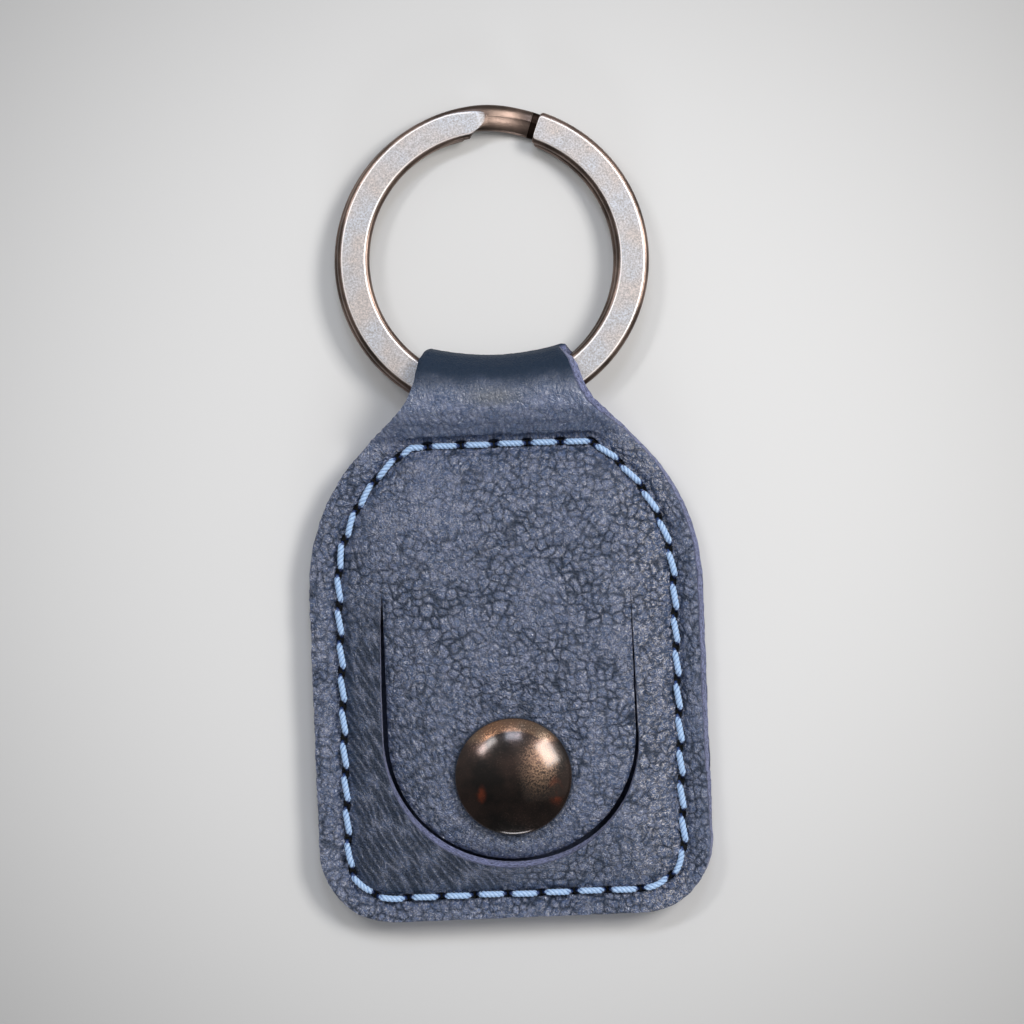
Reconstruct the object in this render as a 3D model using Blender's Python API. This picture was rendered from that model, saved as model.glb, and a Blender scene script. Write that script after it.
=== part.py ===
"""Coin holder keychain: a folded leather pocket with a snap flap, on a flat split ring.

The fob lies on its back. +Z comes out of the front, +Y points at the ring and +X to the right.
The origin is on the flat back of the back panel, at the middle of the leather body.
Lengths are in metres and angles in degrees.
"""
import math

import bmesh
import bpy
from mathutils import Vector
from mathutils.geometry import delaunay_2d_cdt

# Leather body
LEATHER = 0.0012
BODY_WIDTH = 0.0404
BODY_LENGTH = 0.0542
CORNER_RADIUS = 0.0075
NECK_WIDTH = 0.0158
NECK_FILLET = 0.011
PIECE_GAP = 0.0003

# Seam round the pocket
SEAM_SIDE_INSET = 0.003
SEAM_BOTTOM_INSET = 0.00245
SEAM_TOP_INSET = 0.00565
SEAM_CORNER_RADIUS = 0.0046
SEAM_DIP = 0.0004
SEAM_GROOVE_HALF = 0.0012
STITCH_COUNT = 43
THREAD_DIAMETER = 0.00055
THREAD_GAP = 0.00015
THREAD_SUNK = 0.00005
SLIT_LENGTH = 0.0016
SLIT_PLAY = 0.00035

# Crown of the pocket
DOME_REACH = 0.010

# Flap
FLAP_WIDTH = 0.0253
FLAP_END_INSET = 0.00615
FLAP_SLOT = 0.0004
FLAP_SINK = 0.0008
FLAP_SINK_REACH = 0.005
FLAP_SINK_RUN = 0.014

# Snap fastener
SNAP_FROM_FLAP_END = 0.00855
SNAP_SEAT_MARGIN = 0.0006
SNAP_SEAT_BLEND = 0.0025
CAP_DIAMETER = 0.0119
CAP_RIM = 0.0005
CAP_DOME = 0.0017
CAP_WALL = 0.0004
CAP_LIP_OVERLAP = 0.0005
CAP_FLANGE = 0.0003
CAP_POST_WALL = 0.0005
CAP_POST_FLARE = 0.00025
CAP_POST_FLARE_REACH = 0.0006
CAP_POST_PLAY = 0.0004
SOCKET_DIAMETER = 0.0102
SOCKET_PLAY = 0.0005
SOCKET_PLATE = 0.0004
SPRING_WIRE = 0.0004
SPRING_PLAY = 0.00025
SPRING_OPENING = 40.0
SPRING_GROOVE_LIFT = 0.0003
SPRING_GROOVE_PLAY = 0.00015
STUD_BASE_DIAMETER = 0.0084
STUD_BASE = 0.0005
STUD_HEAD_DIAMETER = 0.0042
STUD_HEAD_HEIGHT = 0.00115
STUD_WALL = 0.0004
STUD_NECK_PINCH = 0.0002
STUD_POST_FLANGE_DIAMETER = 0.0084
STUD_POST_FLANGE = 0.0003
STUD_POST_SUNK = 0.0001
STUD_POST_WALL = 0.0005
RECESS_SLOPE = 0.0003

# Split ring
RING_DIAMETER = 0.032
RING_WIDTH = 0.00335
RING_LAYER = 0.00105
RING_SLIT = 0.0001
RING_EDGE_WIDTH = 0.0004
RING_EDGE_HEIGHT = 0.0003
RING_LIFT = 0.0002
JOGGLE_START = -3.5
JOGGLE_TURN = 19.5
JOGGLE_SLACK = 1.0
JOGGLE_NARROWING = 0.0006

# Loop over the ring
LOOP_FROM_SEAM = 0.00105
LOOP_FOOT_RISE = 0.0006
LOOP_FRONT_RUN = 0.0036
LOOP_RING_PLAY = 0.0019
LOOP_CREST_PLAY = 0.0017
LOOP_EDGE_PLAY = 0.0004
LOOP_HEADROOM = 0.002
LOOP_FRONT_BEND = 0.0012
LOOP_CREST_BEND = 0.0028
LOOP_BACK_BEND = 0.0008
LOOP_CORNER = 0.0008
LOOP_CORNER_RUN = 0.0017

# A whole turn
FULL_TURN = 360.0

# Fineness of the meshes
TURNED_SIDES = 24
ARC_STEP = 10.0
RING_STEP = 9.0
JOGGLE_STEP = 3.5
LOOP_STEP = 24.0
GRID = 0.0024
GRID_CLEARANCE = 0.001
THREAD_SIDES = 5
SPRING_SIDES = 6
WELD = 0.0000001

# Shares, chosen by hand
LOOP_WIDTH_SHARES = (-1.0, -0.68, -0.34, 0.0, 0.34, 0.68, 1.0)
DOME_RADIUS_SHARES = (1.0, 0.98, 0.87, 0.68, 0.42)
DOME_HEIGHT_SHARES = (0.0, 0.3, 0.58, 0.79, 0.94)
STUD_HEIGHT_SHARES = (0.2, 0.55, 0.8)
THREAD_LEG_SHARE = 0.72
THREAD_SHOULDER_SHARE = 0.9
SHOULDER_PLACE_SHARE = 0.78
JOGGLE_NARROWED_SHARE = 0.25

# Places and heights that follow from the sizes above
HALF_WIDTH = BODY_WIDTH / 2
HALF_LENGTH = BODY_LENGTH / 2
ARCH_Y = HALF_LENGTH - HALF_WIDTH
SEAM_HALF = HALF_WIDTH - SEAM_SIDE_INSET
SEAM_BOTTOM_Y = SEAM_BOTTOM_INSET - HALF_LENGTH
SEAM_TOP_Y = HALF_LENGTH - SEAM_TOP_INSET
SLIT_WIDTH = THREAD_DIAMETER + SLIT_PLAY
THREAD_RADIUS = THREAD_DIAMETER / 2
BACK_GROOVE = THREAD_DIAMETER + THREAD_GAP + THREAD_SUNK
LOOP_START_Y = SEAM_TOP_Y + LOOP_FROM_SEAM
PANEL_TOP_Y = LOOP_START_Y - PIECE_GAP

FRONT_UNDERSIDE = LEATHER + PIECE_GAP
RIM_TOP = FRONT_UNDERSIDE + LEATHER
STUD_Z = LEATHER + PIECE_GAP
STUD_TOP = STUD_Z + STUD_BASE + STUD_HEAD_HEIGHT
SOCKET_Z = STUD_Z + STUD_BASE + PIECE_GAP
SOCKET_CEILING = STUD_TOP + CAP_POST_FLARE + 2 * PIECE_GAP
SOCKET_TOP = SOCKET_CEILING + SOCKET_PLATE
FRONT_TOP = SOCKET_TOP + PIECE_GAP + LEATHER
DOME_RISE = FRONT_TOP - RIM_TOP
CAP_Z = FRONT_TOP + PIECE_GAP
SOCKET_BORE_RADIUS = STUD_HEAD_DIAMETER / 2 + SOCKET_PLAY
SPRING_RADIUS = (STUD_HEAD_DIAMETER + SPRING_WIRE) / 2 + SPRING_PLAY
CAP_POST_RADIUS = SOCKET_BORE_RADIUS - CAP_POST_PLAY - CAP_POST_FLARE_REACH
CAP_POST_HOLE = CAP_POST_RADIUS + PIECE_GAP
STUD_BORE = STUD_HEAD_DIAMETER / 2 - STUD_NECK_PINCH - STUD_WALL
STUD_POST_RECESS = STUD_POST_SUNK + STUD_POST_FLANGE + PIECE_GAP
RECESS_RADIUS = STUD_POST_FLANGE_DIAMETER / 2 + PIECE_GAP

FLAP_HALF = FLAP_WIDTH / 2
FLAP_HINGE_Y = ARCH_Y
FLAP_END_Y = FLAP_END_INSET - HALF_LENGTH
SNAP_Y = FLAP_END_Y + SNAP_FROM_FLAP_END
FLAP_TURN_Y = FLAP_END_Y + FLAP_HALF
HINGE = Vector((0.0, FLAP_HINGE_Y, FRONT_TOP))

RING_THICKNESS = 2 * RING_LAYER + RING_SLIT
RING_BORE = RING_DIAMETER - 2 * RING_WIDTH
RING_WIRE_RADIUS = (RING_DIAMETER - RING_WIDTH) / 2
RING_NEAR_Y = LOOP_START_Y + LOOP_RING_PLAY + RING_WIDTH / 2
RING_NEAR_Z = LEATHER + PIECE_GAP + RING_LIFT + RING_THICKNESS / 2
RING_PIVOT = Vector((0.0, RING_NEAR_Y, RING_NEAR_Z))
RING_REACH = RING_WIRE_RADIUS + RING_DIAMETER / 2 - RING_EDGE_WIDTH
RING_SAG = (RING_BORE - math.sqrt(RING_BORE ** 2 - NECK_WIDTH ** 2)) / 2

LOOP_CREST_Y = RING_NEAR_Y + RING_WIDTH / 2 + LOOP_CREST_PLAY + LEATHER
LOOP_HEIGHT = LEATHER + PIECE_GAP + RING_THICKNESS + LOOP_HEADROOM + LEATHER
LOOP_FLARE = max(0.0, RING_SAG - LOOP_CREST_PLAY + LOOP_EDGE_PLAY)


def clear_scene():
    """Starts from nothing."""
    for old in list(bpy.data.objects):
        bpy.data.objects.remove(old, do_unlink=True)


def finish_material(name, colour, roughness, metallic=0.0):
    """A plain surface in the colour that the photograph shows."""
    material = bpy.data.materials.new(name)
    material.use_nodes = True
    shader = material.node_tree.nodes["Principled BSDF"]
    shader.inputs["Base Color"].default_value = (*colour, 1.0)
    shader.inputs["Roughness"].default_value = roughness
    shader.inputs["Metallic"].default_value = metallic
    return material


def navy_leather(name):
    return finish_material(name, (0.045, 0.068, 0.118), 0.55)


def blue_thread(name):
    return finish_material(name, (0.19, 0.35, 0.69), 0.6)


def satin_nickel(name):
    return finish_material(name, (0.42, 0.38, 0.35), 0.38, 1.0)


def gunmetal(name):
    return finish_material(name, (0.085, 0.070, 0.062), 0.12, 1.0)


def pressed_steel(name):
    return finish_material(name, (0.33, 0.32, 0.31), 0.3, 1.0)


def add_solid(name, vertices, faces, material, pivot=Vector(), parent=None, sharp=35.0):
    """One closed body, with its origin on the pivot."""
    mesh = bpy.data.meshes.new(name)
    mesh.from_pydata([Vector(v) - pivot for v in vertices], [], faces)
    shape = bmesh.new()
    shape.from_mesh(mesh)
    bmesh.ops.recalc_face_normals(shape, faces=shape.faces)
    shape.to_mesh(mesh)
    shape.free()
    mesh.shade_smooth()
    mesh.set_sharp_from_angle(angle=math.radians(sharp))
    mesh.materials.append(material(name))
    solid = bpy.data.objects.new(name, mesh)
    bpy.context.collection.objects.link(solid)
    if parent is None:
        solid.location = pivot
    else:
        solid.parent = parent
        solid.location = pivot - parent.location
    return solid


def add_pivot(name, place):
    """An empty on a joint's axis, which carries the pieces that turn about it."""
    pivot = bpy.data.objects.new(name, None)
    bpy.context.collection.objects.link(pivot)
    pivot.location = place
    return pivot


def smooth_step(share):
    share = min(max(share, 0.0), 1.0)
    return share * share * (3 - 2 * share)


def spread(start, end, step):
    """Even angles from one to the other, at most a step apart."""
    count = math.ceil(abs(end - start) / step)
    return [start + (end - start) * i / count for i in range(count + 1)]


def arc(centre_x, centre_y, radius, start, end):
    """Points along a round stretch, from one angle to the other."""
    angles = [math.radians(angle) for angle in spread(start, end, ARC_STEP)]
    return [(centre_x + radius * math.cos(a), centre_y + radius * math.sin(a)) for a in angles]


def circle(centre_x, centre_y, radius):
    angles = [2 * math.pi * i / TURNED_SIDES for i in range(TURNED_SIDES)]
    return [(centre_x + radius * math.cos(a), centre_y + radius * math.sin(a)) for a in angles]


def inside(point, loop):
    """Whether a point lies inside a closed outline."""
    x, y = point
    within = False
    for (x1, y1), (x2, y2) in zip(loop, loop[1:] + loop[:1]):
        if (y1 > y) != (y2 > y) and x < x1 + (y - y1) * (x2 - x1) / (y2 - y1):
            within = not within
    return within


def depth_inside(x, y, half, bottom, corner):
    """How far a point lies inside an arched outline with round lower corners."""
    if y >= ARCH_Y:
        return half - math.hypot(x, y - ARCH_Y)
    across = abs(x) - (half - corner)
    down = bottom + corner - y
    if across > 0 and down > 0:
        return corner - math.hypot(across, down)
    return corner - max(across, down)


def seam_depth(x, y):
    """How far a point lies inside the line of stitches, negative outside it."""
    return min(depth_inside(x, y, SEAM_HALF, SEAM_BOTTOM_Y, SEAM_CORNER_RADIUS), SEAM_TOP_Y - y)


def groove_share(x, y):
    """How much of the stitches' groove reaches a point: 1 between the slits' sides, 0 beside it."""
    beside = abs(seam_depth(x, y)) - SLIT_WIDTH / 2
    return 1 - smooth_step(beside / (SEAM_GROOVE_HALF - SLIT_WIDTH / 2))


def crown(x, y):
    """The outer surface of the front, without the stitches' groove."""
    rise = min(max(seam_depth(x, y) / DOME_REACH, 0.0), 1.0)
    return RIM_TOP + DOME_RISE * (1 - (1 - rise) ** 2)


def front_top(x, y):
    return crown(x, y) - SEAM_DIP * groove_share(x, y)


def front_bottom(x, y):
    return max(FRONT_UNDERSIDE, crown(x, y) - LEATHER)


def flap_crown(x, y):
    """The flap follows the front, is clamped flat at the snap and drawn in along its free edge."""
    from_snap = math.hypot(x, y - SNAP_Y) - CAP_DIAMETER / 2 - SNAP_SEAT_MARGIN
    clamped = 1 - smooth_step(from_snap / SNAP_SEAT_BLEND)
    height = crown(x, y) * (1 - clamped) + FRONT_TOP * clamped
    edge = FLAP_HALF - (abs(x) if y > FLAP_TURN_Y else math.hypot(x, y - FLAP_TURN_Y))
    drawn_in = max(0.0, 1 - edge / FLAP_SINK_REACH) ** 2
    return height - FLAP_SINK * drawn_in * smooth_step((FLAP_HINGE_Y - y) / FLAP_SINK_RUN)


def flap_bottom(x, y):
    return flap_crown(x, y) - LEATHER


def back_top(x, y):
    return LEATHER


def back_bottom(x, y):
    """Flat, but for the stitches' groove and the recess of the stud's post."""
    if math.hypot(x, y - SNAP_Y) < RECESS_RADIUS + RECESS_SLOPE / 2:
        return STUD_POST_RECESS
    return BACK_GROOVE * groove_share(x, y)


def panel_outline():
    """The leather body up to the line where its loop starts."""
    corner_x = HALF_WIDTH - CORNER_RADIUS
    corner_y = CORNER_RADIUS - HALF_LENGTH
    top_angle = math.degrees(math.asin((PANEL_TOP_Y - ARCH_Y) / HALF_WIDTH))
    right = [(0.0, -HALF_LENGTH)]
    right += arc(corner_x, corner_y, CORNER_RADIUS, -90, 0)
    right += arc(0, ARCH_Y, HALF_WIDTH, 0, top_angle)
    return right + [(-x, y) for x, y in reversed(right) if x > 0]


def tongue_outline(half, top):
    """The U of the flap, or of the hole that it lies in."""
    return arc(0, FLAP_TURN_Y, half, 180, 360) + [(half, top), (-half, top)]


def seam_runs():
    """The line of stitches as straight and round runs, clockwise from its top left corner."""
    rise = SEAM_TOP_Y - ARCH_Y
    top_x = math.sqrt(SEAM_HALF ** 2 - rise ** 2)
    lean = math.degrees(math.atan2(rise, top_x))
    side = SEAM_HALF - SEAM_CORNER_RADIUS
    low = SEAM_BOTTOM_Y + SEAM_CORNER_RADIUS
    return (
        ((-top_x, SEAM_TOP_Y), (top_x, SEAM_TOP_Y)),
        ((0, ARCH_Y), SEAM_HALF, lean, 0),
        ((SEAM_HALF, ARCH_Y), (SEAM_HALF, low)),
        ((side, low), SEAM_CORNER_RADIUS, 0, -90),
        ((side, SEAM_BOTTOM_Y), (-side, SEAM_BOTTOM_Y)),
        ((-side, low), SEAM_CORNER_RADIUS, -90, -180),
        ((-SEAM_HALF, low), (-SEAM_HALF, ARCH_Y)),
        ((0, ARCH_Y), SEAM_HALF, 180, 180 - lean),
    )


def run_length(run):
    if len(run) == 2:
        return math.dist(*run)
    return run[1] * math.radians(abs(run[3] - run[2]))


def seam_point(distance):
    """The place on the seam after a distance, and the direction of sewing there."""
    runs = seam_runs()
    distance %= sum(run_length(run) for run in runs)
    for run in runs:
        length = run_length(run)
        if distance <= length:
            break
        distance -= length
    share = distance / length
    if len(run) == 2:
        start, end = Vector(run[0]), Vector(run[1])
        return start.lerp(end, share), (end - start).normalized()
    angle = math.radians(run[2] + (run[3] - run[2]) * share)
    outward = Vector((math.cos(angle), math.sin(angle)))
    return Vector(run[0]) + run[1] * outward, Vector((outward.y, -outward.x))


def stitch_pitch():
    return sum(run_length(run) for run in seam_runs()) / STITCH_COUNT


def slit_places():
    """The middle of each slit, where one stitch ends and the next starts."""
    return [(i + 0.5) * stitch_pitch() for i in range(STITCH_COUNT)]


def slits():
    """The awl's slits, one between every two stitches."""
    loops = []
    for distance in slit_places():
        middle, along = seam_point(distance)
        across = Vector((along.y, -along.x))
        reach = along * SLIT_LENGTH / 2
        side = across * SLIT_WIDTH / 2
        corners = (-reach - side, -reach, side - reach, reach + side, reach, reach - side)
        loops.append([tuple(middle + corner) for corner in corners])
    return loops


def groove_points():
    """Points beside and between the slits, which shape the groove of the stitches."""
    points = []
    for distance in slit_places():
        for step in (0, stitch_pitch() / 2):
            middle, along = seam_point(distance + step)
            across = Vector((along.y, -along.x))
            points += [tuple(middle + across * side) for side in (-SEAM_GROOVE_HALF, SEAM_GROOVE_HALF)]
            if step:
                points.append(tuple(middle))
    return points


def grid_points(outline, holes, taken):
    """A triangular grid that fills an outline and keeps off its edges and other points."""
    row_height = GRID * math.sqrt(3) / 2
    low_x, high_x = min(x for x, _ in outline), max(x for x, _ in outline)
    low_y, high_y = min(y for _, y in outline), max(y for _, y in outline)
    edges = []
    for loop in [outline, *holes]:
        for (x1, y1), (x2, y2) in zip(loop, loop[1:] + loop[:1]):
            steps = max(1, round(math.hypot(x2 - x1, y2 - y1) / GRID_CLEARANCE))
            edges += [(x1 + (x2 - x1) * i / steps, y1 + (y2 - y1) * i / steps) for i in range(steps)]
    points = []
    for row in range(math.ceil((high_y - low_y) / row_height)):
        for column in range(math.ceil((high_x - low_x) / GRID) + 1):
            point = (low_x + GRID * (column + (row % 2) / 2), low_y + row_height * row)
            if not inside(point, outline) or any(inside(point, hole) for hole in holes):
                continue
            if all(math.dist(point, other) > GRID_CLEARANCE for other in edges + taken):
                points.append(point)
    return points


def leather_sheet(outline, holes, creases, loose_points, top, bottom):
    """A flat sheet with holes, cut into triangles and given its two surfaces by height functions."""
    points = []
    edges = []
    for loop in [outline, *holes, *creases]:
        first = len(points)
        points += loop
        edges += [(first + i, first + (i + 1) % len(loop)) for i in range(len(loop))]
    points += [p for p in loose_points if not any(inside(p, hole) for hole in holes)]
    flat, _, triangles, *_ = delaunay_2d_cdt([Vector(p) for p in points], edges, [], 0, WELD)
    kept = []
    for triangle in triangles:
        middle = sum((flat[i] for i in triangle), Vector((0.0, 0.0))) / 3
        if inside(middle, outline) and not any(inside(middle, hole) for hole in holes):
            kept.append(tuple(triangle))
    used = sorted({i for triangle in kept for i in triangle})
    place = {old: new for new, old in enumerate(used)}
    count = len(used)
    vertices = [(*flat[i], top(*flat[i])) for i in used] + [(*flat[i], bottom(*flat[i])) for i in used]
    faces = []
    sides = {}
    for triangle in kept:
        corners = [place[i] for i in triangle]
        faces.append(corners)
        faces.append([count + i for i in reversed(corners)])
        for a, b in zip(corners, corners[1:] + corners[:1]):
            sides[(a, b)] = True
    for a, b in sides:
        if (b, a) not in sides:
            faces.append([b, a, count + a, count + b])
    return vertices, faces


def turned(profile, centre_y):
    """A solid turned about the snap's axis from a closed profile of radius and height."""
    vertices = []
    rings = []
    for radius, height in profile:
        if radius == 0:
            rings.append([len(vertices)] * TURNED_SIDES)
            vertices.append((0.0, centre_y, height))
            continue
        rings.append(list(range(len(vertices), len(vertices) + TURNED_SIDES)))
        vertices += [(x, y, height) for x, y in circle(0, centre_y, radius)]
    faces = []
    for low, high in zip(rings, rings[1:] + rings[:1]):
        if low[0] == low[1] and high[0] == high[1]:
            continue
        for i in range(TURNED_SIDES):
            j = (i + 1) % TURNED_SIDES
            corners = (low[i], low[j], high[j], high[i])
            faces.append(list(dict.fromkeys(corners)))
    return vertices, faces


def swept(rings, closed):
    """A tube through rings of points, with flat ends or joined end to end."""
    sides = len(rings[0])
    vertices = [point for ring in rings for point in ring]
    faces = []
    pairs = len(rings) if closed else len(rings) - 1
    for i in range(pairs):
        low = i * sides
        high = (i + 1) % len(rings) * sides
        for j in range(sides):
            k = (j + 1) % sides
            faces.append([low + j, low + k, high + k, high + j])
    if not closed:
        faces.append(list(range(sides)))
        faces.append(list(range(len(vertices) - sides, len(vertices))))
    return vertices, faces


def add_back_panel():
    """The back of the blank: flat outside, with a groove for the stitches and a recess for the post."""
    outline = panel_outline()
    hole = circle(0, SNAP_Y, STUD_BORE)
    creases = [circle(0, SNAP_Y, RECESS_RADIUS), circle(0, SNAP_Y, RECESS_RADIUS + RECESS_SLOPE)]
    sheet = leather_sheet(outline, slits() + [hole], creases, groove_points(), back_top, back_bottom)
    add_solid("back_panel", *sheet, navy_leather)


def add_front_panel():
    """The crowned front of the blank, with the U-shaped opening that the flap closes."""
    outline = panel_outline()
    mouth = tongue_outline(FLAP_HALF + FLAP_SLOT, FLAP_HINGE_Y + PIECE_GAP / 2)
    holes = slits() + [mouth]
    taken = groove_points()
    points = taken + grid_points(outline, holes, taken)
    sheet = leather_sheet(outline, holes, [], points, front_top, front_bottom)
    add_solid("front_panel", *sheet, navy_leather)


def add_flap(parent):
    """The tongue of the front, with a hole for the post of the snap's cap."""
    outline = tongue_outline(FLAP_HALF, FLAP_HINGE_Y - PIECE_GAP / 2)
    hole = circle(0, SNAP_Y, CAP_POST_HOLE)
    points = grid_points(outline, [hole], [])
    sheet = leather_sheet(outline, [hole], [], points, flap_crown, flap_bottom)
    add_solid("flap", *sheet, navy_leather, HINGE, parent)


def strip_half_width(y):
    """Half the width of the leather above the panels: the arch, a fillet and the neck."""
    centre_x = NECK_WIDTH / 2 + NECK_FILLET
    reach = HALF_WIDTH + NECK_FILLET
    rise = math.sqrt(reach ** 2 - centre_x ** 2)
    if y < ARCH_Y + rise * HALF_WIDTH / reach:
        return math.sqrt(HALF_WIDTH ** 2 - (y - ARCH_Y) ** 2)
    corner = max(0.0, (y - LOOP_CREST_Y + LOOP_CORNER_RUN) / LOOP_CORNER_RUN) ** 2
    fillet_height = min(0.0, y - ARCH_Y - rise)
    return centre_x - math.sqrt(NECK_FILLET ** 2 - fillet_height ** 2) - LOOP_CORNER * corner


def loop_stations():
    """Places along the strip as (outer point, inner point, flare), from its front foot to its back foot."""
    foot = Vector((LOOP_START_Y, RIM_TOP))
    bend = foot + Vector((0, LOOP_FOOT_RISE))
    front_radius = LOOP_FRONT_BEND + LEATHER
    crest_radius = LOOP_CREST_BEND + LEATHER
    back_radius = LOOP_BACK_BEND + LEATHER
    front = Vector((LOOP_START_Y + LOOP_FRONT_RUN, LOOP_HEIGHT - front_radius))
    crest = Vector((LOOP_CREST_Y - crest_radius, LOOP_HEIGHT - crest_radius))
    back = Vector((LOOP_CREST_Y - back_radius, back_radius))
    to_front = front - bend
    slope = math.atan2(to_front.y, to_front.x) + math.asin(front_radius / to_front.length)
    normal = Vector((-math.sin(slope), math.cos(slope)))
    stations = [
        (foot, foot - Vector((0, LEATHER)), 0.0),
        (bend, bend - LEATHER * normal, 0.0),
    ]
    turns = (
        (front, front_radius, 90 + math.degrees(slope), 90),
        (crest, crest_radius, 90, 0),
        (back, back_radius, 0, -90),
    )
    for centre, radius, start, end in turns:
        for angle in spread(start, end, LOOP_STEP):
            out = Vector((math.cos(math.radians(angle)), math.sin(math.radians(angle))))
            flare = math.cos(math.radians(min(max(angle, 0.0), 90.0)))
            stations.append((centre + radius * out, centre + (radius - LEATHER) * out, flare))
    stations.append((Vector((LOOP_START_Y, 0)), Vector((LOOP_START_Y, LEATHER)), 0.0))
    return stations


def add_ring_loop():
    """The neck of the blank, folded over the split ring and flared where the ring leaves it."""
    rings = []
    for outer, inner, flare in loop_stations():
        half = strip_half_width(outer.x)
        outer_row = []
        inner_row = []
        for share in LOOP_WIDTH_SHARES:
            x = half * share
            shift = LOOP_FLARE * flare * min(1.0, (2 * x / NECK_WIDTH) ** 2)
            outer_row.append((x, outer.x + shift, outer.y))
            inner_row.append((x, inner.x + shift, inner.y))
        rings.append(outer_row + inner_row[::-1])
    add_solid("ring_loop", *swept(rings, closed=False), navy_leather)


def thread_rings(crown_z, dip_z):
    """The thread runs over the leather from slit to slit and dips into each one."""
    rings = []
    shoulder = SLIT_LENGTH / 2 * SHOULDER_PLACE_SHARE
    shoulder_z = crown_z + (dip_z - crown_z) * (1 - THREAD_SHOULDER_SHARE)
    half_pitch = stitch_pitch() / 2
    stations = []
    for distance in slit_places():
        stations += [
            (distance, dip_z, THREAD_LEG_SHARE),
            (distance + shoulder, shoulder_z, THREAD_SHOULDER_SHARE),
            (distance + half_pitch, crown_z, 1.0),
            (distance + 2 * half_pitch - shoulder, shoulder_z, THREAD_SHOULDER_SHARE),
        ]
    centres = [Vector((*seam_point(distance)[0], z)) for distance, z, _ in stations]
    for i, (distance, _, radius_share) in enumerate(stations):
        along = (centres[(i + 1) % len(centres)] - centres[i - 1]).normalized()
        direction = seam_point(distance)[1]
        side = Vector((direction.y, -direction.x, 0.0))
        up = side.cross(along).normalized()
        ring = []
        for j in range(THREAD_SIDES):
            angle = 2 * math.pi * (j + 0.25) / THREAD_SIDES
            around = side * math.cos(angle) + up * math.sin(angle)
            ring.append(centres[i] + around * THREAD_RADIUS * radius_share)
        rings.append(ring)
    return rings


def add_threads():
    """Two threads that sew the pocket: one on the front and one on the back, meeting in the slits."""
    meeting = LEATHER + PIECE_GAP / 2
    leg = THREAD_GAP + THREAD_RADIUS * THREAD_LEG_SHARE
    needle_crown = RIM_TOP - SEAM_DIP + THREAD_GAP + THREAD_RADIUS
    bobbin_crown = BACK_GROOVE - THREAD_GAP - THREAD_RADIUS
    needle = thread_rings(needle_crown, meeting + leg)
    bobbin = thread_rings(bobbin_crown, meeting - leg)
    add_solid("needle_thread", *swept(needle, closed=True), blue_thread, sharp=80.0)
    add_solid("bobbin_thread", *swept(bobbin, closed=True), blue_thread, sharp=80.0)


def add_stud():
    """The male half of the snap: a hollow stud on a flanged post pressed in from behind."""
    base = STUD_Z + STUD_BASE
    head = STUD_HEAD_DIAMETER / 2
    neck = head - STUD_NECK_PINCH
    neck_height, bulge_height, shoulder_height = [base + s * STUD_HEAD_HEIGHT for s in STUD_HEIGHT_SHARES]
    stud = [
        (STUD_BORE, STUD_Z),
        (STUD_BASE_DIAMETER / 2, STUD_Z),
        (STUD_BASE_DIAMETER / 2, base),
        (neck, base),
        (neck, neck_height),
        (head, bulge_height),
        (head, shoulder_height),
        (neck, STUD_TOP),
        (0, STUD_TOP),
        (0, STUD_TOP - STUD_WALL),
        (STUD_BORE, STUD_TOP - STUD_WALL),
    ]
    add_solid("snap_stud", *turned(stud, SNAP_Y), pressed_steel)
    tube = STUD_BORE - PIECE_GAP
    flange_top = STUD_POST_SUNK + STUD_POST_FLANGE
    tip = STUD_TOP - STUD_WALL - PIECE_GAP
    bore = tube - STUD_POST_WALL
    post = [
        (bore, STUD_POST_SUNK),
        (STUD_POST_FLANGE_DIAMETER / 2, STUD_POST_SUNK),
        (STUD_POST_FLANGE_DIAMETER / 2, flange_top),
        (tube, flange_top),
        (tube, tip),
        (0, tip),
        (0, tip - STUD_POST_FLANGE),
        (bore, tip - STUD_POST_FLANGE),
    ]
    add_solid("stud_post", *turned(post, SNAP_Y), pressed_steel)


def add_socket(parent):
    """The female half of the snap, with a split ring of spring wire in its groove."""
    bore = SOCKET_BORE_RADIUS
    groove = SPRING_RADIUS + SPRING_WIRE / 2 + 2 * SPRING_GROOVE_PLAY
    groove_low = SOCKET_Z + SPRING_GROOVE_LIFT
    groove_high = groove_low + SPRING_WIRE + 2 * SPRING_GROOVE_PLAY
    socket = [
        (bore, SOCKET_Z),
        (SOCKET_DIAMETER / 2, SOCKET_Z),
        (SOCKET_DIAMETER / 2, SOCKET_TOP),
        (CAP_POST_HOLE, SOCKET_TOP),
        (CAP_POST_HOLE, SOCKET_CEILING),
        (bore, SOCKET_CEILING),
        (bore, groove_high),
        (groove, groove_high),
        (groove, groove_low),
        (bore, groove_low),
    ]
    add_solid("snap_socket", *turned(socket, SNAP_Y), pressed_steel, HINGE, parent)
    middle = (groove_low + groove_high) / 2
    rings = []
    for i in range(TURNED_SIDES + 1):
        turn = math.radians(SPRING_OPENING / 2 + (FULL_TURN - SPRING_OPENING) * i / TURNED_SIDES)
        out = Vector((math.sin(turn), math.cos(turn), 0.0))
        centre = Vector((0.0, SNAP_Y, middle)) + out * SPRING_RADIUS
        angles = [2 * math.pi * j / SPRING_SIDES for j in range(SPRING_SIDES)]
        up = Vector((0.0, 0.0, 1.0))
        rings.append([centre + (out * math.cos(a) + up * math.sin(a)) * SPRING_WIRE / 2 for a in angles])
    add_solid("socket_spring", *swept(rings, closed=False), pressed_steel, HINGE, parent)


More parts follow.
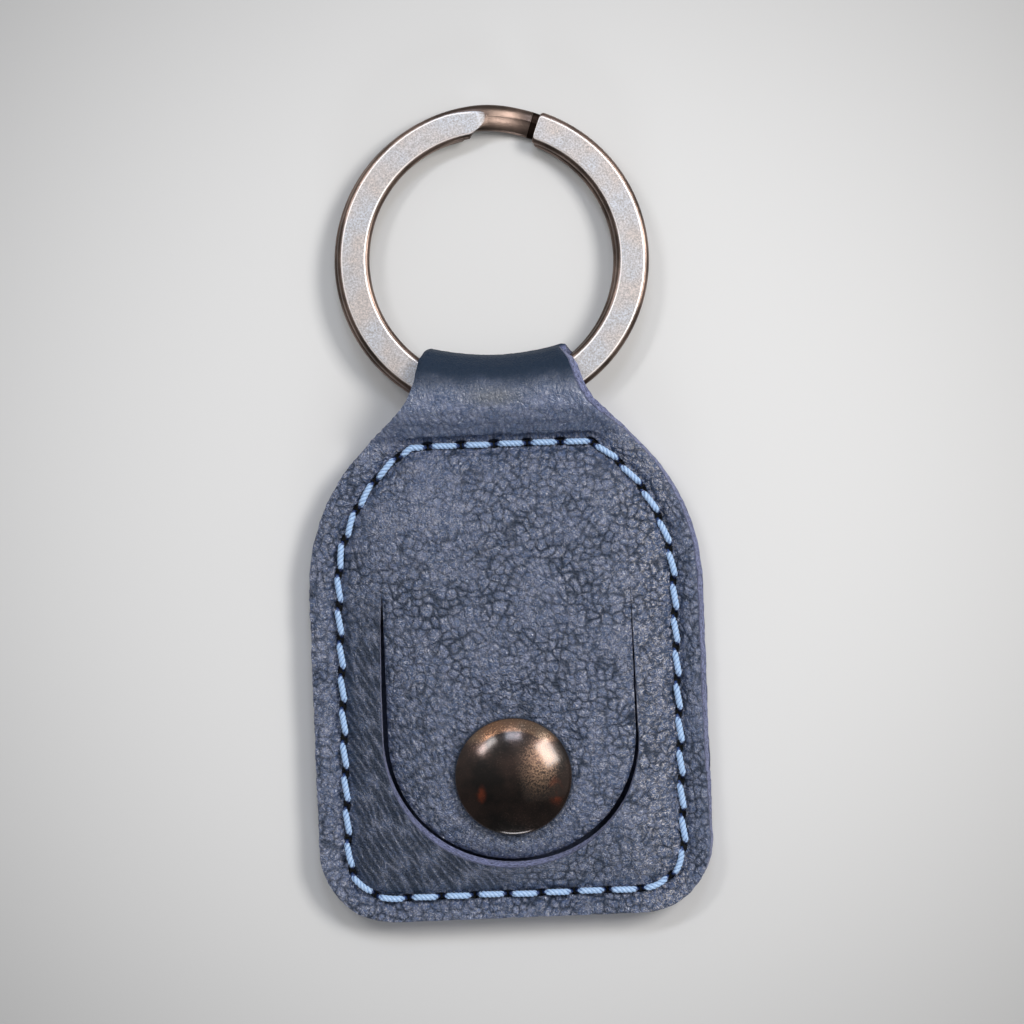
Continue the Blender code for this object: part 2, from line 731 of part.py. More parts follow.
def add_cap(parent):
    """The domed cap, crimped round the flange of the post that holds the socket."""
    outer = CAP_DIAMETER / 2
    inner = outer - CAP_WALL
    flange = inner - 2 * PIECE_GAP
    lip = flange - CAP_LIP_OVERLAP
    shoulder = CAP_Z + CAP_RIM
    lip_top = CAP_Z + CAP_FLANGE
    inner_dome = CAP_DOME - CAP_WALL
    outer_dome = [
        (outer * r, shoulder + CAP_DOME * h) for r, h in zip(DOME_RADIUS_SHARES, DOME_HEIGHT_SHARES)
    ]
    inside_dome = [
        (inner * r, shoulder + inner_dome * h) for r, h in zip(DOME_RADIUS_SHARES, DOME_HEIGHT_SHARES)
    ]
    cap = [(lip, CAP_Z), (outer - CAP_LIP_OVERLAP / 2, CAP_Z), (outer, CAP_Z + CAP_LIP_OVERLAP / 2)]
    cap += outer_dome
    cap += [(0, shoulder + CAP_DOME), (0, shoulder + inner_dome)]
    cap += inside_dome[::-1]
    cap += [(inner, lip_top), (lip, lip_top)]
    add_solid("cap_shell", *turned(cap, SNAP_Y), gunmetal, HINGE, parent, sharp=50.0)
    flange_z = lip_top + PIECE_GAP
    flare_top = SOCKET_CEILING - PIECE_GAP
    tube = CAP_POST_RADIUS
    bore = tube - CAP_POST_WALL
    flare = tube + CAP_POST_FLARE_REACH
    post = [
        (bore, flare_top - CAP_POST_FLARE),
        (flare, flare_top - CAP_POST_FLARE),
        (flare, flare_top),
        (tube, flare_top),
        (tube, flange_z),
        (flange, flange_z),
        (flange, flange_z + CAP_FLANGE),
        (bore, flange_z + CAP_FLANGE),
    ]
    add_solid("cap_post", *turned(post, SNAP_Y), pressed_steel, HINGE, parent)


def ring_section():
    """The flat wire's section as (across, through) from its middle, with eased edges."""
    half = RING_WIDTH / 2
    through = RING_LAYER / 2
    flat = half - RING_EDGE_WIDTH
    side = through - RING_EDGE_HEIGHT
    return (
        (-half, -side), (-flat, -through), (flat, -through), (half, -side),
        (half, side), (flat, through), (-flat, through), (-half, side),
    )


def add_split_ring(parent):
    """Two turns of flat wire. At the top the front layer joggles down to become the back layer."""
    half_step = (RING_LAYER + RING_SLIT) / 2
    joggle_from = FULL_TURN + JOGGLE_START
    joggle_to = joggle_from + JOGGLE_TURN
    start = joggle_to - FULL_TURN + JOGGLE_SLACK
    end = joggle_from + FULL_TURN - JOGGLE_SLACK
    turns = spread(start, joggle_from, RING_STEP)
    turns += spread(joggle_from, joggle_to, JOGGLE_STEP)[1:]
    turns += spread(joggle_to, end, RING_STEP)[1:]
    rings = []
    for turn in turns:
        share = (turn - joggle_from) / JOGGLE_TURN
        from_end = min(share, 1 - share)
        height = half_step * (1 - 2 * smooth_step(share))
        narrowed = JOGGLE_NARROWING * smooth_step(from_end / JOGGLE_NARROWED_SHARE)
        out = Vector((math.sin(math.radians(turn)), math.cos(math.radians(turn)), 0.0))
        centre = Vector((0.0, RING_WIRE_RADIUS, height))
        ring = []
        for across, through in ring_section():
            inner_edge = narrowed if across < 0 else 0.0
            point = centre + out * (RING_WIRE_RADIUS + across + inner_edge)
            ring.append(point + Vector((0.0, 0.0, through)))
        rings.append(ring)
    ring = add_solid("split_ring", *swept(rings, closed=False), satin_nickel)
    ring.parent = parent
    return ring


def ring_tilt():
    """The ring lies on the loop's back and on the table, so it slopes down away from the fob."""
    half = RING_THICKNESS / 2
    return math.asin(RING_PIVOT.z / math.hypot(RING_REACH, half)) - math.atan2(half, RING_REACH)


def build():
    clear_scene()
    add_back_panel()
    add_front_panel()
    add_ring_loop()
    add_threads()
    add_stud()
    flap_hinge = add_pivot("flap_hinge", HINGE)
    add_flap(flap_hinge)
    add_socket(flap_hinge)
    add_cap(flap_hinge)
    ring_hinge = add_pivot("ring_hinge", RING_PIVOT)
    ring_hinge.rotation_euler.x = -ring_tilt()
    add_split_ring(ring_hinge)


build()
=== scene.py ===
"""Coin holder keychain: a folded leather pocket with a snap flap, on a flat split ring.

Sizes are in millimetres, and every mesh is turned to metres where it is made. The fob lies on its
back in the frame's own place: +Z out of the front, +Y to the ring and +X to the right.
"""

import functools
import math

import bpy
import numpy as np
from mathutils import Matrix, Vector, kdtree
from mathutils.geometry import delaunay_2d_cdt


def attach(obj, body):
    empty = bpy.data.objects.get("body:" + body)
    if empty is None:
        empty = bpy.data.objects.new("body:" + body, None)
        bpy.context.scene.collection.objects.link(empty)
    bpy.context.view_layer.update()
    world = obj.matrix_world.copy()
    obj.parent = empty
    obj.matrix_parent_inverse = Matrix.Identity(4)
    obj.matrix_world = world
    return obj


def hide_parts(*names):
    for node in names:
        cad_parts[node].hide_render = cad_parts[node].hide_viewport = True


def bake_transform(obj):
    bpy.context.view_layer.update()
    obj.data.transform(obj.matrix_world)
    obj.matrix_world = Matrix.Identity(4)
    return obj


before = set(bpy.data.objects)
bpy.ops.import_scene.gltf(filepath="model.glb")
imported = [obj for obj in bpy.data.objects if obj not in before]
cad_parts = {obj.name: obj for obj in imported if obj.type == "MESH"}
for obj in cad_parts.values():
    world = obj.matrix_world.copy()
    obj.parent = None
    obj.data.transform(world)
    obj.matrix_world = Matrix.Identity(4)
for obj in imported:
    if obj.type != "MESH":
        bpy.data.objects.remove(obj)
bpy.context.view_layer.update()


# Studio. A pale sweep whose colour darkens softly away from the object, a painted pool of light,
# soft lamps and a grey room that is darker to the front. All are low in strength, so that colours
# render about as they are written.
MM = 0.001
VIEW_CENTRE = (0.92, 14.45)
VIEW_UP = (0.0398, 0.9992)
VIEW_FIELD = 105.02
VIEW_HEIGHT = 2.4
LENS = 150.0
SENSOR = 36.0
FLOOR_Z = -0.02
FLOOR_REACH = 4000.0
GLOW_START = 25.0
GLOW_END = 118.0
LAMPS = (
    # name, direction from the object, distance, width, height, watts, colour
    ("right_softbox", (0.60, 0.31, 0.74), 420.0, 185.0, 118.0, 0.98, "#FFFCF8"),
    ("right_wide_panel", (0.55, 0.10, 0.83), 520.0, 700.0, 560.0, 0.24, "#FFFAF4"),
    ("left_softbox", (-0.44, 0.48, 0.76), 420.0, 150.0, 48.0, 0.31, "#FFFFFF"),
    ("top_panel", (0.02, 0.64, 0.77), 420.0, 110.0, 60.0, 0.22, "#E4EEFF"),
    ("low_front_strip", (0.0, -0.965, 0.26), 420.0, 170.0, 60.0, 0.40, "#F6FAFF"),
)
ROOM_FRONT = 0.14
ROOM_BACK = 0.42
ROOM_TURN = 0.55
SOFT = {"interpolation_type": "SMOOTHSTEP"}
COLOUR = {"data_type": "RGBA"}


def linear(code):
    """An sRGB hex colour as linear red, green, blue and alpha."""
    parts = [int(code[i:i + 2], 16) / 255 for i in (1, 3, 5)]
    return [p / 12.92 if p <= 0.04045 else ((p + 0.055) / 1.055) ** 2.4 for p in parts] + [1.0]


def set_inputs(node, inputs):
    """Gives the inputs of a node links or values. A colour is written as hex."""
    for key, value in inputs.items():
        if isinstance(value, bpy.types.NodeSocket):
            node.id_data.links.new(value, node.inputs[key])
        else:
            node.inputs[key].default_value = linear(value) if isinstance(value, str) else value


def add_node(tree, kind, *values, output=None, **named):
    """Adds a node and returns its first output, or the one named.

    The values fill the inputs that the node uses, in order. Of the named ones, those that start
    with a capital are inputs too, and the rest are its settings."""
    node = tree.nodes.new("ShaderNode" + kind)
    inputs = {name: value for name, value in named.items() if name[0].isupper()}
    for name, value in named.items():
        if name not in inputs:
            setattr(node, name, value)
    used = [i for i, socket in enumerate(node.inputs) if socket.enabled]
    set_inputs(node, dict(zip(used, values)) | inputs)
    return node.outputs[output] if output else next(s for s in node.outputs if s.enabled)


def start_material(name):
    """An empty material: itself, a call that adds a node to it, and its shader."""
    material = bpy.data.materials.new(name)
    material.use_nodes = True
    tree = material.node_tree
    return material, functools.partial(add_node, tree), tree.nodes["Principled BSDF"]


def link_object(name, data):
    made = bpy.data.objects.new(name, data)
    bpy.context.collection.objects.link(made)
    return made


def studio_floor():
    """Matt paper, its colour painted brightest under the object and a step darker towards the
    corners of the picture, as a painted pool of light.
    """
    material, add, shader = start_material("matt_grey_paper")
    middle = [VIEW_CENTRE[0] * MM, VIEW_CENTRE[1] * MM, 0.0]
    away = add("VectorMath", add("NewGeometry"), middle, operation="DISTANCE")
    share = add("MapRange", away, GLOW_START * MM, GLOW_END * MM, **SOFT)
    tone = add("Mix", share, "#E2E2E2", "#8E8E8E", **COLOUR)
    set_inputs(shader, {"Base Color": tone, "Roughness": 0.9, "Specular IOR Level": 0.0})
    mesh = bpy.data.meshes.new("paper_floor")
    reach = FLOOR_REACH * MM
    corners = ((-reach, -reach), (reach, -reach), (reach, reach), (-reach, reach))
    mesh.from_pydata([(x, y, FLOOR_Z * MM) for x, y in corners], [], [(0, 1, 2, 3)])
    mesh.materials.append(material)
    link_object("paper_floor", mesh)


def studio_room():
    """The grey room: darker in front of the object, where the camera's stand and its cloth are."""
    world = bpy.data.worlds.new("grey_room")
    bpy.context.scene.world = world
    world.use_nodes = True
    add = functools.partial(add_node, world.node_tree)
    towards = add("SeparateXYZ", add("TexCoord", output="Generated"), output="Y")
    level = add("MapRange", towards, -ROOM_TURN, ROOM_TURN, ROOM_FRONT, ROOM_BACK, **SOFT)
    set_inputs(world.node_tree.nodes["Background"], {"Strength": level, "Color": "#FFFFFF"})


def studio_lamps():
    for name, direction, distance, width, height, watts, colour in LAMPS:
        lamp = bpy.data.lights.new(name, "AREA")
        lamp.shape = "RECTANGLE"
        lamp.size = width * MM
        lamp.size_y = height * MM
        lamp.energy = watts
        lamp.color = linear(colour)[:3]
        holder = link_object(name, lamp)
        out = Vector(direction).normalized()
        holder.location = out * distance * MM
        holder.rotation_mode = "QUATERNION"
        holder.rotation_quaternion = (-out).to_track_quat("-Z", "Y")


def studio_camera():
    """Straight above, as in the photograph, and turned by the small angle that the fob lies at."""
    camera = bpy.data.cameras.new("camera")
    camera.lens = LENS
    camera.sensor_width = SENSOR
    camera.clip_start = 0.01
    camera.clip_end = 20.0
    holder = link_object("camera", camera)
    distance = VIEW_FIELD * LENS / SENSOR
    holder.location = (VIEW_CENTRE[0] * MM, VIEW_CENTRE[1] * MM, (VIEW_HEIGHT + distance) * MM)
    holder.rotation_euler.z = -math.atan2(VIEW_UP[0], VIEW_UP[1])
    bpy.context.scene.camera = holder


bpy.context.scene.view_settings.view_transform = "Standard"
studio_floor()
studio_room()
studio_lamps()
studio_camera()


# Leather blank. One piece of navy cowhide, 1.2 mm thick, drum dyed and tumbled so that its grain
# stands up in pebbles. It is cut on a die, folded over the ring at the neck and sewn face to back.
# Places on it are (across, along) in mm as it lay before folding: along is y on the front.
LEATHER = 1.2
HALF_WIDTH = 20.2
HALF_LENGTH = 27.1
ARCH_Y = 6.9
BODY_CORNER = 7.5
NECK_HALF = 7.9
NECK_FILLET = 11.0
CREST_Y = 30.65
CREST_CORNER = 0.8
CREST_CORNER_RUN = 1.7
CREST_FLARE = 1.25
RIM_TOP = 2.7
DOME_RISE = 3.2
DOME_REACH = 10.0
RIM_LIFT = 0.3
SEAM_HALF = 17.2
SEAM_LOW = -24.65
SEAM_TOP = 21.45
SEAM_CORNER = 4.6
SEAM_DIP = 0.45
SEAM_DIP_HALF = 1.25
BACK_DIP = 0.75
STITCHES = 43
SLIT_LENGTH = 1.45
SLIT_WIDTH = 0.8
SNAP_Y = -12.4
POST_RECESS = 0.7
POST_RECESS_RADIUS = 4.5
POST_HOLE = 1.5
SLIT_SIDES = 12
HOLE_SIDES = 40
FOLD_START_Y = 20.0
FOLD_LINE = (
    # the middle of the leather's thickness, as (y, z), from the front over the ring to the back
    (20.0, 2.1), (21.3, 2.1), (22.3, 2.35), (23.25, 3.6), (24.3, 5.35), (25.3, 6.22), (26.5, 6.38),
    (27.7, 6.05), (28.9, 5.25), (29.75, 4.15), (30.12, 2.95), (29.95, 1.75), (29.2, 0.85),
    (28.0, 0.6), (25.0, 0.6), (22.0, 0.6),
)
FOLD_STEP = 0.05
FOLD_WINDOW = 27
RIGHT_EDGE_SLOPE = (
    # how far the knife leaned out along the right edge: (along, slope)
    (-26.0, 0.0), (-22.0, 0.25), (-15.0, 0.45), (-6.0, 0.6), (5.0, 0.65), (12.0, 0.6), (18.0, 0.5),
    (21.0, 0.45), (22.5, 0.45), (24.0, 0.5), (26.0, 0.75), (28.5, 0.9), (33.0, 1.0), (37.0, 0.2),
)
FLAP_HALF = 12.65
FLAP_TURN_Y = -8.3
FLAP_TOP_Y = 6.9
FLAP_TOP_POINTS = 84
MOUTH_SLOPE = (
    # the same on the mouth, by the way round it from where the left side turns: (travel, slope)
    (-15.0, 0.0), (-11.0, 0.08), (0.0, 0.12), (5.0, 0.35), (11.0, 0.6), (20.0, 0.65), (26.0, 0.45),
    (31.0, 0.12), (36.0, 0.08), (44.0, 0.06), (55.0, 0.0),
)
MOUTH_GAP = (
    # how far the mouth stands off the flap: (travel, gap)
    (-15.2, 0.03), (-12.0, 0.3), (-5.0, 0.5), (0.0, 0.5), (5.0, 0.42), (11.0, 0.3), (20.0, 0.32),
    (27.0, 0.5), (33.0, 0.56), (38.0, 0.34), (41.0, 0.2), (46.0, 0.16), (55.0, 0.04),
)
PEBBLE = 0.98
SMALL_PEBBLE = 0.50
GRAIN_STEP = 0.165
BACK_GRAIN_STEP = 0.42
FLESH_STEP = 1.1
WHOLE_BLANK = (-50.0, 200.0)
EDGE_STEP = 0.3
OUTLINE_PLACES = 4000
SEAM_TURN_PLACES = 200
SEAM_LOOK = 0.05
EDGE_ROWS = 4
EDGE_ROUGH = 0.055
SHARP_EDGE = 52.0


def smooth(value):
    value = np.clip(value, 0.0, 1.0)
    return value * value * (3 - 2 * value)


def travelled(*line):
    """The way gone along a line, from 0, at each of its places."""
    return np.concatenate([[0.0], np.cumsum(np.hypot(*(np.diff(part) for part in line)))])


def unit(vectors):
    return vectors / np.linalg.norm(vectors, axis=1)[:, None]


def between(place, pairs):
    """The value at a place, from pairs of (place, value)."""
    return np.interp(place, *np.array(pairs).T)


def fold_path():
    """The grain side of the blank from front to back: along, y, z and the outward normal."""
    line = np.array(FOLD_LINE).T
    travel = travelled(*line)
    fine = np.arange(0.0, travel[-1], FOLD_STEP)
    window = np.hanning(FOLD_WINDOW)
    window /= window.sum()
    padding = {"pad_width": len(window) // 2, "mode": "reflect", "reflect_type": "odd"}
    y, z = (np.convolve(np.pad(np.interp(fine, travel, part), **padding), window, mode="valid")
            for part in line)
    slope_y, slope_z = np.gradient(y), np.gradient(z)
    length = np.hypot(slope_y, slope_z)
    normal_y, normal_z = -slope_z / length, slope_y / length
    y = y + normal_y * LEATHER / 2
    z = z + normal_z * LEATHER / 2
    along = FOLD_START_Y + travelled(y, z)
    front = np.array([-HALF_LENGTH, FOLD_START_Y - FOLD_STEP])
    back = np.array([y[-1] - FOLD_STEP, -HALF_LENGTH])
    return [np.concatenate(parts) for parts in (
        (front, along, along[-1] + y[-1] - back),
        (front, y, back),
        ([RIM_TOP] * 2, z, [0.0] * 2),
        ([0.0] * 2, normal_y, [0.0] * 2),
        ([1.0] * 2, normal_z, [-1.0] * 2),
    )]


PATH_ALONG, PATH_Y, PATH_Z, PATH_NORMAL_Y, PATH_NORMAL_Z = fold_path()
BACK_ALONG = PATH_ALONG[-1] - HALF_LENGTH
CREST_ALONG = PATH_ALONG[np.argmax(PATH_Y)]


def on_path(along, part):
    return np.interp(along, PATH_ALONG, part)


def width_at(y):
    """Half the width of the folded blank at a height: round corners, arch, fillet and neck."""
    low_y = y + HALF_LENGTH - BODY_CORNER
    low = HALF_WIDTH - BODY_CORNER + np.sqrt(np.maximum(0.0, BODY_CORNER ** 2 - low_y ** 2))
    arch = np.sqrt(np.maximum(0.0, HALF_WIDTH ** 2 - (y - ARCH_Y) ** 2))
    centre_x = NECK_HALF + NECK_FILLET
    rise = math.sqrt((HALF_WIDTH + NECK_FILLET) ** 2 - centre_x ** 2)
    under = np.minimum(0.0, y - ARCH_Y - rise)
    neck = centre_x - np.sqrt(np.maximum(0.0, NECK_FILLET ** 2 - under ** 2))
    turned_in = np.clip((y - CREST_Y + CREST_CORNER_RUN) / CREST_CORNER_RUN, 0.0, 1.0)
    neck -= CREST_CORNER * turned_in ** 2
    half = np.where(y < ARCH_Y, HALF_WIDTH, arch)
    half = np.where(y < BODY_CORNER - HALF_LENGTH, low, half)
    return np.where(y > ARCH_Y + rise * HALF_WIDTH / (HALF_WIDTH + NECK_FILLET), neck, half)


def half_width(along):
    """Half the width of the blank at each place along it."""
    return width_at(on_path(along, PATH_Y))


def seam_depth(x, y):
    """How far a place lies inside the line of stitches, negative outside it."""
    across = np.abs(x) - (SEAM_HALF - SEAM_CORNER)
    down = SEAM_LOW + SEAM_CORNER - y
    in_corner = (across > 0) & (down > 0)
    low = SEAM_CORNER - np.where(in_corner, np.hypot(across, down), np.maximum(across, down))
    arch = SEAM_HALF - np.hypot(x, y - ARCH_Y)
    return np.minimum(np.where(y >= ARCH_Y, arch, low), SEAM_TOP - y)


def seam_dip(x, y):
    """How much of the dip along the stitches reaches a place, from 0 to 1."""
    level = SLIT_WIDTH / 2
    return 1 - smooth((np.abs(seam_depth(x, y)) - level) / (SEAM_DIP_HALF - level))


def rounded(distance, reach):
    """A rounded rise from 0 to 1 at the reach."""
    return 1 - (1 - np.clip(distance / reach, 0.0, 1.0)) ** 2


def crown(x, y):
    """How far the front of the pocket stands above its rim."""
    return DOME_RISE * rounded(seam_depth(x, y), DOME_REACH)


def soft_noise(x, y, cell, seed):
    """Soft rise and fall from -1 to 1 with its hills about a cell apart."""
    table = np.random.default_rng(seed).uniform(-1.0, 1.0, (128, 128))
    column, row = np.floor(x / cell).astype(int), np.floor(y / cell).astype(int)
    across, along = smooth(x / cell - column), smooth(y / cell - row)
    near, far = (table[column % 128, line % 128] * (1 - across)
                 + table[(column + 1) % 128, line % 128] * across for line in (row, row + 1))
    return near * (1 - along) + far * along


def pebbles(x, y, cell, seed):
    """Pebbles about a cell apart: how far from the crease, 0 to about 1, and how each one leans."""
    chance = np.random.default_rng(seed).uniform(0.06, 0.94, (128, 128, 4))
    x, y = x / cell, y / cell
    column, row = np.floor(x).astype(int), np.floor(y).astype(int)
    first = np.full(x.shape, 9.0)
    second = np.full(x.shape, 9.0)
    lean = np.zeros(x.shape)
    for i in (-1, 0, 1):
        for j in (-1, 0, 1):
            spot = chance[(column + i) % 128, (row + j) % 128]
            to_x, to_y = x - column - i - spot[..., 0], y - row - j - spot[..., 1]
            away = np.hypot(to_x, to_y)
            own = to_x * (spot[..., 2] - 0.5) + to_y * (spot[..., 3] - 0.5)
            lean = np.where(away < first, own, lean)
            second = np.minimum(second, np.maximum(first, away))
            first = np.minimum(first, away)
    return second - first, lean


def furrows(x, y, cell, seed, deep, lean):
    """Pebbles on a stretched grid: how far from the crease, and the relief in mm."""
    away, own = pebbles(x, y, cell, seed)
    return away, deep * (rounded(away, 0.8) - 1) + lean * own


def grain(x, along):
    """The grain at places on the blank: its height in mm, how near each lies to a crease, and how
    far it is stretched smooth."""
    y = on_path(along, PATH_Y)
    back = on_back(along)
    depth = seam_depth(x, along)
    bend_x = x + 0.38 * soft_noise(x, along, 1.3, 3) + 0.15 * soft_noise(x, along, 0.5, 4)
    bend_y = along + 0.38 * soft_noise(x, along, 1.3, 5) + 0.15 * soft_noise(x, along, 0.5, 6)
    # Each pebble is creased again into smaller ones.
    large, large_lean = pebbles(bend_x, bend_y, PEBBLE, 11)
    small, small_lean = pebbles(bend_x, bend_y, SMALL_PEBBLE, 12)
    strong = np.clip(0.9 + 0.5 * soft_noise(x, along, 1.7, 14), 0.35, 1.3)
    relief = (0.17 * strong * (rounded(large, 0.95) - 1) + 0.06 * (rounded(small, 0.9) - 1)
              + 0.14 * large_lean + 0.05 * small_lean)
    # The crease value paints the colour darker, as painted shade, and dulls the finish.
    crease = np.maximum((0.6 + 0.4 * strong) * (1 - large / 0.7), 0.7 * (1 - small / 0.65))
    mouth_away = np.hypot(x, np.minimum(0.0, along - FLAP_TURN_Y)) - FLAP_HALF
    # Low on the left of the flap the pebbles run together in short slanting streaks.
    wave = x + 0.4 * soft_noise(x, along, 3.5, 25) + 0.3 * (bend_x - x)
    lean_x, lean_y = wave * 0.88 + along * 0.47, along * 0.88 - wave * 0.47
    streak, streak_relief = furrows(lean_x, lean_y * 0.45, 0.62, 20, 0.17, 0.12)
    flap_low = smooth((3.0 - x) / 8.0) * smooth((-1.0 - along) / 7.0) * (mouth_away <= 0)
    # Outside the mouth there, the hide is pulled into long fine ridges. The patch is painted
    # darker, as painted shade, least on the ridges.
    slant, slant_lean = pebbles(lean_x, lean_y * 0.17, 0.74, 15)
    ridge = 1 - rounded(slant, 0.62)
    slant_relief = 0.08 * ridge - 0.07 + 0.08 * slant_lean + 0.2 * relief
    left_low = (~back * smooth((4.0 - x) / 9.0) * smooth((9.0 - along) / 9.0)
                * smooth((depth + 0.4) / 1.2) * (mouth_away > 0))
    # Below the snap it is drawn into fine lines that run out from the cap.
    reach = np.hypot(x, along - SNAP_Y)
    turn = np.arctan2(along - SNAP_Y, x) * 7.0
    ray, ray_relief = furrows(turn, reach * 0.34, 0.55, 19, 0.12, 0.08)
    rays = (~back * smooth((reach - 5.9) / 0.5) * (1 - smooth((reach - 7.0) / 2.2))
            * smooth((SNAP_Y + 1.0 - along) / 3.5))
    # On the neck it is pulled up to the ring in upright lines.
    fan = x * (1 - 0.035 * np.clip(along - 21.0, 0.0, 6.0)) + 0.12 * soft_noise(x, along, 0.9, 16)
    pull, pull_relief = furrows(fan, along * 0.30, 0.52, 17, 0.14, 0.08)
    neck = smooth((y - 20.8) / 1.6)
    layers = (
        (streak_relief, 0.75 * flap_low, 1.05 * (1 - streak / 0.8), 0.7 * flap_low),
        (slant_relief, left_low, 0.92 - 0.40 * ridge + 0.12 * crease, left_low),
        (ray_relief, rays, 0.85 * (1 - ray / 0.75), rays),
        (pull_relief + 0.2 * relief, neck, 0.7 * (1 - pull / 0.65), neck),
    )
    for layer_relief, relief_share, layer_crease, crease_share in layers:
        relief = relief + (layer_relief - relief) * relief_share
        crease = crease + (layer_crease - crease) * crease_share
    # The hide is stretched smooth over the fold, and lies a little calmer in the upper left.
    fold = smooth((y - 25.3 + 0.25 * soft_noise(x, along, 0.8, 26)) / 3.6)
    calm = ~back * np.exp(-(((x + 9.0) / 5.0) ** 2 + ((along - 15.5) / 4.5) ** 2))
    rough = (~back * smooth((x - 11.0) / 3.0) * smooth((14.0 - along) / 4.0)
             * smooth((depth + 0.5) / 1.5))
    amount = (1 - 0.84 * fold) * (1 - 0.2 * calm) * (1 + 0.3 * rough)
    rolling = 0.07 * soft_noise(x, along, 2.4, 18) * (1 - 0.7 * fold)
    height = rolling - 0.04 + relief * amount
    return height, np.clip(crease * np.minimum(amount, 1.0), 0.0, 1.0), fold


def place_on_fold(x, along, height):
    """Where a place on the blank comes to lie, a height above the plain grain side, in metres."""
    y, z, normal_y, normal_z = (on_path(along, part)
                                for part in (PATH_Y, PATH_Z, PATH_NORMAL_Y, PATH_NORMAL_Z))
    flare = CREST_FLARE * np.maximum(0.0, normal_y) * np.minimum(1.0, (x / NECK_HALF) ** 2)
    return np.stack([x, y + flare + normal_y * height, z + normal_z * height], axis=1) * MM


def on_back(along):
    return along > CREST_ALONG


def flat_y(along):
    """The y of the panel that a place lies on, on the front or the back."""
    return np.where(on_back(along), BACK_ALONG - along, along)


def body_form(x, along):
    """The height of the blank over its plain fold, without its grain."""
    y = flat_y(along)
    near_seam = seam_dip(x, y)
    rim = RIM_LIFT * smooth((-seam_depth(x, y) - 0.5) / 2.0) * smooth((22.0 - y) / 4.0)
    front_height = crown(x, y) * (y < SEAM_TOP) - SEAM_DIP * near_seam + rim
    recess = smooth((POST_RECESS_RADIUS + 0.3 - np.hypot(x, y - SNAP_Y)) / 0.3)
    back_height = -np.maximum(BACK_DIP * near_seam, POST_RECESS * recess)
    return np.where(on_back(along), back_height, front_height)


def body_grain_side(x, along):
    height, crease, fold = grain(x, along)
    edge = half_width(along) - np.abs(x)
    right = (x > 0) & ~on_back(along)
    # The knife left the right edge sloping, so its raw side shows from the front.
    slope = between(along, RIGHT_EDGE_SLOPE)
    inset = np.where(right, slope, 0.06) * (1 - smooth(edge / 3.2))
    rolled = 0.16 * (1 - smooth(edge / 0.5))
    # It leaned out along the lower left of the mouth too, which leaves a sloping cut there.
    down = np.minimum(0.0, along - FLAP_TURN_Y)
    away = np.hypot(x, down)
    quarter = math.pi * FLAP_HALF / 2
    on_side = np.where(x < 0, FLAP_TURN_Y - along, 2 * quarter + along - FLAP_TURN_Y)
    around = np.where(down < 0, quarter + FLAP_HALF * np.arctan2(x, -down), on_side)
    band = between(around, MOUTH_SLOPE) * (1 - smooth((away - FLAP_HALF) / 2.6))
    band = band * (along < FLAP_TOP_Y) * (away > FLAP_HALF) / np.maximum(away, 1.0)
    x, along, form = x - np.sign(x) * inset + x * band, along + down * band, body_form(x, along)
    return place_on_fold(x, along, form + height - rolled), crease, fold


def body_flesh_side(x, along):
    y = flat_y(along)
    depth = -LEATHER + np.where(~on_back(along), crown(x, y) * (y < SEAM_TOP), 0.0)
    # Where the neck slopes up to the ring, the flesh side lies higher up the narrowing outline and
    # is gathered in with it, more on the left than on the right.
    high = on_path(along, PATH_Y)
    shift = LEATHER * np.maximum(0.0, -on_path(along, PATH_NORMAL_Y))
    near_edge = 1 - smooth((half_width(along) - np.abs(x)) / 3.0)
    gathered = np.maximum(0.0, width_at(high) - width_at(high + shift)) * near_edge
    return place_on_fold(x - np.sign(x) * gathered * np.where(x < 0, 1.0, 0.6), along, depth)


def inside(points, loop):
    """Which of the points lie inside a closed line."""
    x, y = points[:, 0], points[:, 1]
    within = np.zeros(len(points), bool)
    for (x1, y1), (x2, y2) in zip(loop, np.roll(loop, -1, axis=0)):
        if y1 != y2:
            within ^= ((y1 > y) != (y2 > y)) & (x < x1 + (y - y1) * (x2 - x1) / (y2 - y1))
    return within


def inside_cut(points, loops):
    """Which of the points lie in the leather: within the outline and in none of the holes."""
    kept = inside(points, loops[0])
    for loop in loops[1:]:
        low, high = loop.min(axis=0), loop.max(axis=0)
        near = np.flatnonzero(np.all((points > low) & (points < high), axis=1))
        kept[near[inside(points[near], loop)]] = False
    return kept


def fill_points(loops, step_at):
    """Evenly scattered places inside the cut lines, with a step for each part of the sheet."""
    edge = np.concatenate(loops)
    tree = kdtree.KDTree(len(edge))
    for i, (x, y) in enumerate(edge):
        tree.insert((x, y, 0.0), i)
    tree.balance()
    low, high = loops[0].min(axis=0), loops[0].max(axis=0)
    found = []
    for start, end, step in step_at:
        rows = np.arange(max(low[1], start), min(high[1], end), step * math.sqrt(3) / 2)
        grid = np.stack(np.meshgrid(np.arange(low[0], high[0], step), rows), axis=-1)
        grid[1::2, :, 0] += step / 2
        grid = grid.reshape(-1, 2)
        grid = grid + np.random.default_rng(31).uniform(-0.12, 0.12, grid.shape) * step
        grid = grid[inside_cut(grid, loops)]
        clear = 0.55 * min(step, 0.6)
        found.append(grid[[tree.find((x, y, 0.0))[2] > clear for x, y in grid]])
    return np.concatenate(found)


def cut_triangles(loops, step_at):
    """The sheet between the cut lines as (places, triangles), its cut lines first."""
    points = np.concatenate([*loops, fill_points(loops, step_at)])
    edges = []
    first = 0
    for loop in loops:
        edges += [(first + i, first + (i + 1) % len(loop)) for i in range(len(loop))]
        first += len(loop)
    flat, _, faces, *_ = delaunay_2d_cdt([Vector(p) for p in points], edges, [], 0, 1e-6)
    flat = np.array([tuple(p) for p in flat])
    if len(flat) != len(points):
        raise ValueError("the cut lines of the leather cross")
    faces = np.array(faces)
    return flat, faces[inside_cut(flat[faces].mean(axis=1), loops)]


